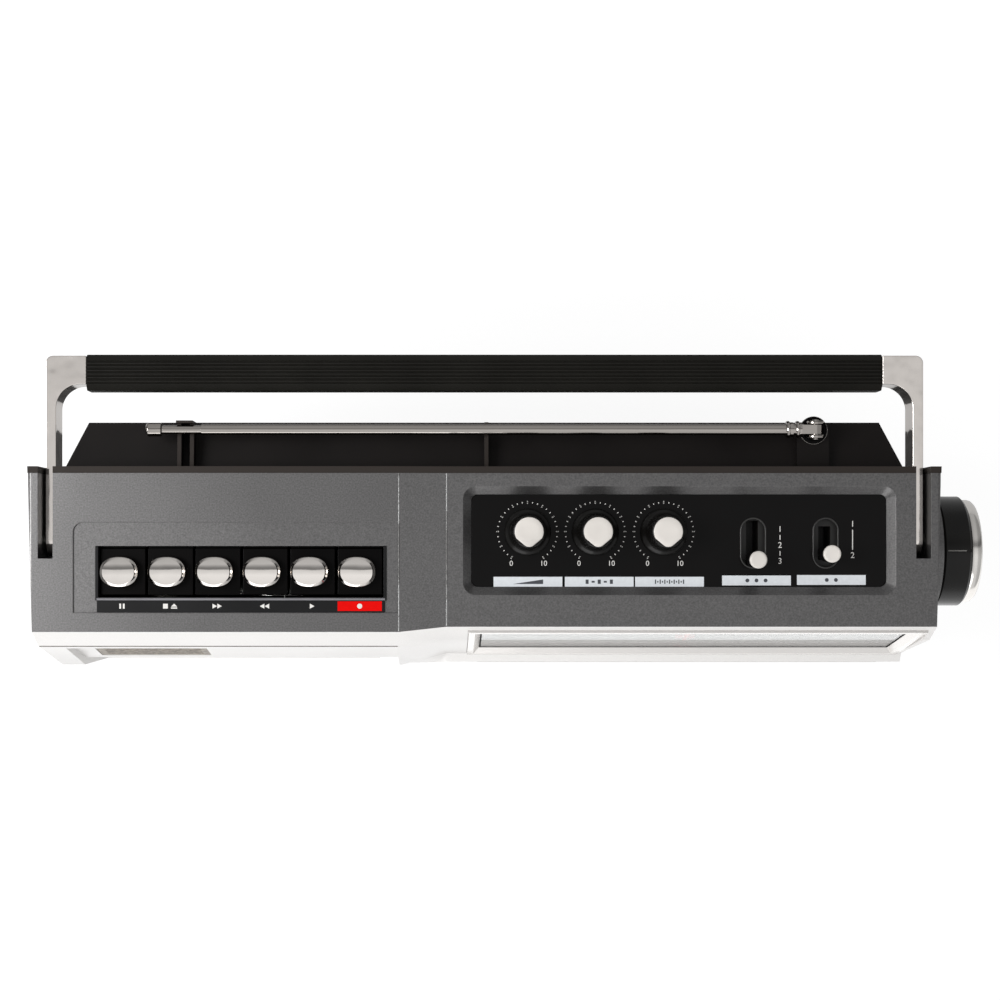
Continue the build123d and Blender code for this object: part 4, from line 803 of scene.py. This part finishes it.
turned_cap, tree, shader, place = new_finish("aluminium, turned and polished", Metallic=1.0,
                                             Roughness=0.16)
shader.inputs["Base Color"].default_value = srgb("#d8d5d1")
centred = add(tree, "ShaderNodeMapping", {"Vector": place, "Location": (0, -axis_y, -axis_z),
                                          "Scale": (0, 1, 1)}).outputs[0]
reach = maths(tree, "LENGTH", centred, kind="VectorMath", output="Value")
lines = add(tree, "ShaderNodeTexNoise", {"W": reach, "Scale": 1 / (0.5 * MM), "Detail": 2.0},
            noise_dimensions="1D").outputs["Fac"]
wired(tree, shader, Normal=relief(tree, lines, depth=0.02, strength=0.5))
cap_r = (cap_high.y - cap_low.y) / 2 / MM
cap_t = (cap_high.x - cap_low.x) / MM
cap_profile = [(0, 0), (cap_r - 0.4, 0), (cap_r, 0.4), (cap_r, cap_t - 2.2),
               (cap_r - 0.25, cap_t - 1.3), (cap_r - 0.9, cap_t - 0.6),
               (cap_r - 1.8, cap_t - 0.35), (cap_r - 2.8, cap_t - 0.7),
               (cap_r - 3.6, cap_t - 1.1), (cap_r - 5, cap_t - 0.9),
               (cap_r * 0.5, cap_t - 0.3), (0, cap_t)]
cap = as_piece("tuning_cap_turned", lathe(cap_profile, steps=96), angle=60,
               at=to_knob @ Matrix.Translation((0, 0, cap_low.x / MM)))
fixed(cap, turned_cap, "tuning_dial_knob", slot_of["tuning_knob_cap"], "tuning_knob_cap")


# Dial: a silver frame with a bevelled mouth holds a clear window, edged by a thin black line
# that is painted shadow. Behind it a black scale has two rows of plain numbers, and a red
# pointer slides along a groove.

frame_silver = lacquer("bright silver lacquer, polished", "#e3e0dd", flake=0.4, contrast=0.05,
                       metallic=0.6, roughness=0.2)
eased("dial_bezel", frame_silver, width=0.2)
acrylic, tree, shader, place = new_finish("clear acrylic, cast", IOR=1.49, Transmission_Weight=1.0)
shader.inputs["Base Color"].default_value = srgb("#f4f6f5")
haze = noise(tree, place, size=12, detail=3.0)
wired(tree, shader, Roughness=spread(tree, haze, high=0.02))
kept("dial_window", acrylic)
kept("dial_scale", moulded("black polystyrene, silk-screened", "#121314", roughness=0.4))
kept("dial_pointer", moulded("red polystyrene, moulded", "#d61a10", roughness=0.3))

DIAL_TILT = math.atan2(11.2, 53.5)      # the dial leans back by this from the upright
face_up = Vector((0, -math.cos(DIAL_TILT), math.sin(DIAL_TILT)))
up_slope = Vector((0, math.sin(DIAL_TILT), math.cos(DIAL_TILT)))
leaning = Matrix(((1, 0, 0, 0), (0, up_slope.y, face_up.y, 0), (0, up_slope.z, face_up.z, 0),
                  (0, 0, 0, 1)))


def on_face(node):
    """Puts a shape drawn in mm on the face of a plate of the dial. Gives its half sizes too."""
    low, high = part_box(node)
    deep, tall = (high.y - low.y) / MM, (high.z - low.z) / MM
    sine, cosine = math.sin(DIAL_TILT), math.cos(DIAL_TILT)
    both = cosine ** 2 - sine ** 2
    height, thick = (tall * cosine - deep * sine) / both, (deep * cosine - tall * sine) / both
    at = (low + high) / 2 + face_up * (thick / 2 * MM)
    return (Matrix.Translation(at) @ leaning @ Matrix.Scale(MM, 4),
            ((high.x - low.x) / 2 / MM, height / 2))


LIP = 1.9               # width of the window that runs under the frame, mm
SHADOW_GAP = 0.7            # width of the black line round the window, a painted shadow, mm
SHADOW_GAP_RISE = 0.12
to_window, window_half = on_face("dial_window")
mouth_w, mouth_h = (half - LIP for half in window_half)
edges = [rectangle(2 * mouth_w, SHADOW_GAP, 0, side * (mouth_h - SHADOW_GAP / 2)) for side in (-1, 1)]
edges += [rectangle(SHADOW_GAP, 2 * mouth_h - 2 * SHADOW_GAP, side * (mouth_w - SHADOW_GAP / 2))
          for side in (-1, 1)]
# A thin black frame on the window's face: painted shadow where the window meets the frame.
shadow_gap = as_piece("dial_shadow_gap", joined([(prism(edge, SHADOW_GAP_RISE), to_window) for edge in edges]))
shadow_gap_black = moulded("black line round the window, painted shadow", "#0e0e0d", roughness=0.7, grain=0.6, sheen=0.1)
fixed(shadow_gap, shadow_gap_black, "housing", slot_of["dial_bezel"])

# Each row: its height on the scale, mm, and its numbers.
ROWS = ((13.5, ("88", "92", "96", "100", "104", "108")),
        (3.0, ("53", "60", "70", "80", "100", "120", "140", "160")))
ROW_MARGIN = 17         # of the rows' lines from the scale's ends, mm
NUMBER_MARGIN = 4       # of the first and the last number from the line's ends, mm
NUMBER_SIZE = 4.2
LINE_BELOW = 3.4        # a row's line lies this far below its numbers' middle, mm
STEPS = 5               # from one number to the next
to_scale, scale_half = on_face("dial_scale")
line_w = 2 * scale_half[0] - 2 * ROW_MARGIN
scale_print = []


def tick(x, y, width, height):
    """A mark that hangs from a row's line."""
    outline = rectangle(width, height, x, y - LINE_BELOW - height / 2)
    scale_print.append((prism(outline, PRINT), to_scale))


for y, numbers in ROWS:
    scale_print.append((prism(rectangle(line_w, 0.3, 0, y - LINE_BELOW), PRINT), to_scale))
    for i, text in enumerate(numbers):
        x = (i / (len(numbers) - 1) - 0.5) * (line_w - 2 * NUMBER_MARGIN)
        scale_print.append((numeral(text, NUMBER_SIZE),
                            to_scale @ Matrix.Translation((x, y, PRINT / 2))))
        tick(x, y, 0.35, 1.8)
    steps = STEPS * (len(numbers) - 1)
    for i in range(steps + 1):
        tick((i / steps - 0.5) * (line_w - 2 * NUMBER_MARGIN), y, 0.2, 0.9)
fixed(as_piece("scale_print", joined(scale_print)), white_ink, "housing", slot_of["dial_scale"])


# Loudspeaker behind a slatted grille, and the microphone's little grille on the left. The
# grille is moulded and sprayed silver, the cone is black pressed paper on a plated basket.

grille_silver = lacquer("silver lacquer on the grille, sprayed", "#b9b7b3", flake=0.4,
                        contrast=0.06, metallic=0.4, roughness=0.36)
eased("speaker_grille", grille_silver, width=0.15, segments=1)
BASKET_RIM = 5          # width of the bare metal round the cone, mm
cone_paper, tree, shader, place = new_finish("black pressed paper, within a plated steel basket",
                                             Roughness=0.8)
low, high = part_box("loudspeaker")
centred = maths(tree, "SUBTRACT", place, (low + high) / 2, kind="VectorMath")
flat = maths(tree, "MULTIPLY", centred, (1, 0, 1), kind="VectorMath")
reach = maths(tree, "LENGTH", flat, kind="VectorMath", output="Value")
metal = maths(tree, "GREATER_THAN", reach, (high.x - low.x) / 2 - BASKET_RIM * MM)
fibres = noise(tree, place, size=0.8, detail=4.0)
paper = blend(tree, fibres, srgb("#161514"), srgb("#2e2c2a"))
wired(tree, shader, Base_Color=blend(tree, metal, paper, srgb("#9b9993")), Metallic=metal,
      Normal=relief(tree, fibres, depth=0.1, strength=0.6))
kept("loudspeaker", cone_paper)
# Strong dark mottling on the slats: painted shade in the gaps between them.
mic_slats = moulded("brown-grey ABS, fine slats dulled by dust", "#8f877d", roughness=0.5,
                    clouds=1.8, contrast=0.5)
eased("mic_grille", mic_slats, width=0.1, segments=1)


# Cassette deck: a silver door with a clear window swings on two pins. Inside are a black
# liner, a steel chassis, two spindles, the capstan with its rubber roller, and the heads.

eased("cassette_door", front_silver, width=0.25)
kept("cassette_window", acrylic)
kept("deck_well", moulded("black polystyrene, plain", "#171615", roughness=0.5))
kept("deck_chassis", bare_metal("zinc-plated steel, rolled", "#b7b4ac", roughness=0.32, grain=2.0))
for side in ("left", "right"):
    kept(f"reel_{side}", moulded(f"white acetal, {side} spindle", "#d9d6cf", roughness=0.4))
kept("capstan", bare_metal("steel, ground", "#c4c2bf", roughness=0.18, grain=0.5))
kept("pinch_roller", moulded("black rubber, ground", "#201f1e", roughness=0.75, grain=0.6))
kept("tape_heads", bare_metal("nickel-iron alloy, polished", "#c9c7c2", roughness=0.2, grain=1.0))


# Telescopic antenna: drawn brass tubes, chromed, folded down along the rear on a fork that
# stands on a round foot with a black washer. Two collars are rolled into the tube at its hinge.

antenna_chrome = chrome("chrome on brass tube, drawn", "#a9a49f", roughness=0.06)
for node in ("antenna_base", "antenna_tube", "antenna_section_2", "antenna_section_3"):
    eased(node, antenna_chrome, width=0.25)
low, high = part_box("antenna_base")
washer_r = (high.x - low.x) / 2 / MM - 0.05
washer_profile = [(0, 0.6), (washer_r, 0.6), (washer_r, 1.1), (washer_r - 0.45, 1.5), (3.9, 1.5),
                  (3.6, 1.25), (0, 1.25)]
washer = as_piece("antenna_washer", lathe(washer_profile, steps=64), angle=50,
                  at=placed((low.x + high.x) / 2, (low.y + high.y) / 2, low.z))
fixed(washer, key_black, "housing", slot_of["antenna_base"])

COLLAR_AT = (9.8, 13.6)     # from the hinge end of the tube, mm
low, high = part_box("antenna_tube")
tube_r = (high.z - low.z) / 2 / MM
collar_profile = [(tube_r - 0.3, -0.8), (tube_r + 0.25, -0.7), (tube_r + 0.5, -0.3),
                  (tube_r + 0.5, 0.3), (tube_r + 0.25, 0.7), (tube_r - 0.3, 0.8)]
for i, back in enumerate(COLLAR_AT):
    spot = (high.x - back * MM, (low.y + high.y) / 2, (low.z + high.z) / 2)
    along_tube = Matrix.Translation(spot) @ Matrix.Rotation(math.radians(90), 4, "Y")
    collar = as_piece(f"antenna_collar_{i + 1}", lathe(collar_profile, steps=40), angle=30,
                      at=along_tube @ Matrix.Scale(MM, 4))
    fixed(collar, antenna_chrome, body_of["antenna_tube"], slot_of["antenna_tube"])


# Fixings: rubber feet, cross-headed screws sunk in the rear cover, and a bare two-pin inlet.
# The screws are nickelled steel with a bright edge round each cross.

kept("feet", moulded("black rubber, moulded feet", "#1c1b1a", roughness=0.8, grain=0.7))
inlet_black = moulded("black phenolic, moulded inlet", "#191817", roughness=0.4)
eased("power_inlet", inlet_black, width=0.2)
screw_nickel = bare_metal("nickel-plated steel, cold-headed", "#b9b6b0", roughness=0.25, grain=0.8)
eased("case_screws", screw_nickel, width=0.3)


# The stage: a plain pale floor that stays white to the camera but keeps the shadow, soft
# light from the front and the left, and the camera straight above, as in the photograph.

FLOOR_SIDE = 8.0
FLOOR_SEEN = 0.84       # light given off to the camera, which keeps the floor white
FLOOR_SHINE = (1.15, 0.45)      # the same to shiny surfaces, in front of the cabinet and behind it
SHINE_FADES = (-120, -20)       # where the first of these gives way to the second, mm
floor_mesh = bpy.data.meshes.new("floor")
floor_mesh.from_pydata([(x, y, 0) for x, y in rectangle(FLOOR_SIDE, FLOOR_SIDE)], [],
                       [(0, 1, 2, 3)])
floor = linked("floor", floor_mesh)
floor_paper, tree, shader, place = new_finish("white background paper, matte", Roughness=0.9)
shader.inputs["Base Color"].default_value = srgb("#858585")
shader.inputs["Emission Color"].default_value = (1, 1, 1, 1)
rays = add(tree, "ShaderNodeLightPath").outputs
seen = maths(tree, "MAXIMUM", rays["Is Camera Ray"], rays["Is Transmission Ray"])
depth = add(tree, "ShaderNodeSeparateXYZ", {0: place}).outputs["Y"]
shine = spread(tree, depth, *FLOOR_SHINE, ends=(SHINE_FADES[0] * MM, SHINE_FADES[1] * MM))
given_off = maths(tree, "MAXIMUM", maths(tree, "MULTIPLY", seen, FLOOR_SEEN),
                  maths(tree, "MULTIPLY", rays["Is Glossy Ray"], shine))
wired(tree, shader, Emission_Strength=given_off)
floor.data.materials.append(floor_paper)

# Levels of the room's light, from the front to the rear and from the left to the right.
DEPTH_STOPS = ((0.0, 0.85), (0.4, 1.02), (0.49, 0.86), (0.56, 0.78), (0.575, 0.21), (0.63, 0.25),
               (0.72, 0.6), (1.0, 0.5))
SIDE_STOPS = ((0.0, 0.45), (0.22, 0.5), (0.3, 0.75), (0.38, 0.88), (0.45, 1.0), (0.5, 1.0),
              (0.57, 0.95), (0.62, 1.0), (0.7, 0.65), (0.85, 0.6), (1.0, 0.6))


def grey_levels(tree, along, stops):
    """A ramp of grey levels along one axis of the room."""
    ramp = add(tree, "ShaderNodeValToRGB", {"Fac": spread(tree, along, ends=(-1.0, 1.0))})
    while len(ramp.color_ramp.elements) < len(stops):
        ramp.color_ramp.elements.new(0.5)
    for element, (position, level) in zip(ramp.color_ramp.elements, stops):
        element.position = position
        element.color = (level, level, level, 1)
    return ramp.outputs["Color"]


world = bpy.data.worlds.new("studio")
bpy.context.scene.world = world
world.use_nodes = True
tree = world.node_tree
way = add(tree, "ShaderNodeSeparateXYZ", {
    0: add(tree, "ShaderNodeTexCoord").outputs["Generated"]}).outputs
level = maths(tree, "MULTIPLY", grey_levels(tree, way["Y"], DEPTH_STOPS),
              grey_levels(tree, way["X"], SIDE_STOPS))
to_camera = add(tree, "ShaderNodeLightPath").outputs["Is Camera Ray"]
shown = add(tree, "ShaderNodeMix", {0: to_camera, 2: level, 3: 1.0}, data_type="FLOAT")
sky = tree.nodes["Background"]
sky.inputs["Color"].default_value = (1, 1, 1, 1)
wired(tree, sky, Strength=shown.outputs[0])


def soft_box(name, at, aim, size, watts):
    """A square area lamp that looks at a point."""
    lamp = bpy.data.lights.new(name, "AREA")
    lamp.size = size
    lamp.energy = watts
    facing = (Vector(aim) - Vector(at)).to_track_quat("-Z", "Y").to_matrix().to_4x4()
    linked(name, lamp).matrix_world = Matrix.Translation(at) @ facing


soft_box("front_box", at=(-0.5, -1.3, 0.6), aim=(0, 0, 0.15), size=1.0, watts=6)
soft_box("left_box", at=(-0.62, 0.05, 0.85), aim=(-0.15, 0, 0.2), size=0.4, watts=5.6)

PICTURE = 1000          # width and height of the photograph, pixels
LENS_PIXELS = 1900      # focal length in its pixels
NADIR = (445, 560)      # the pixel straight below the camera
STAND = (-0.0258, -0.0189, 0.969)
eye = bpy.data.cameras.new("camera")
eye.sensor_width = 36
eye.lens = LENS_PIXELS / PICTURE * eye.sensor_width
eye.shift_x = (PICTURE / 2 - NADIR[0]) / PICTURE
eye.shift_y = (NADIR[1] - PICTURE / 2) / PICTURE
eye.clip_start = 0.01
viewer = linked("camera", eye)
viewer.location = STAND
bpy.context.scene.camera = viewer
bpy.context.scene.view_settings.view_transform = "Standard"
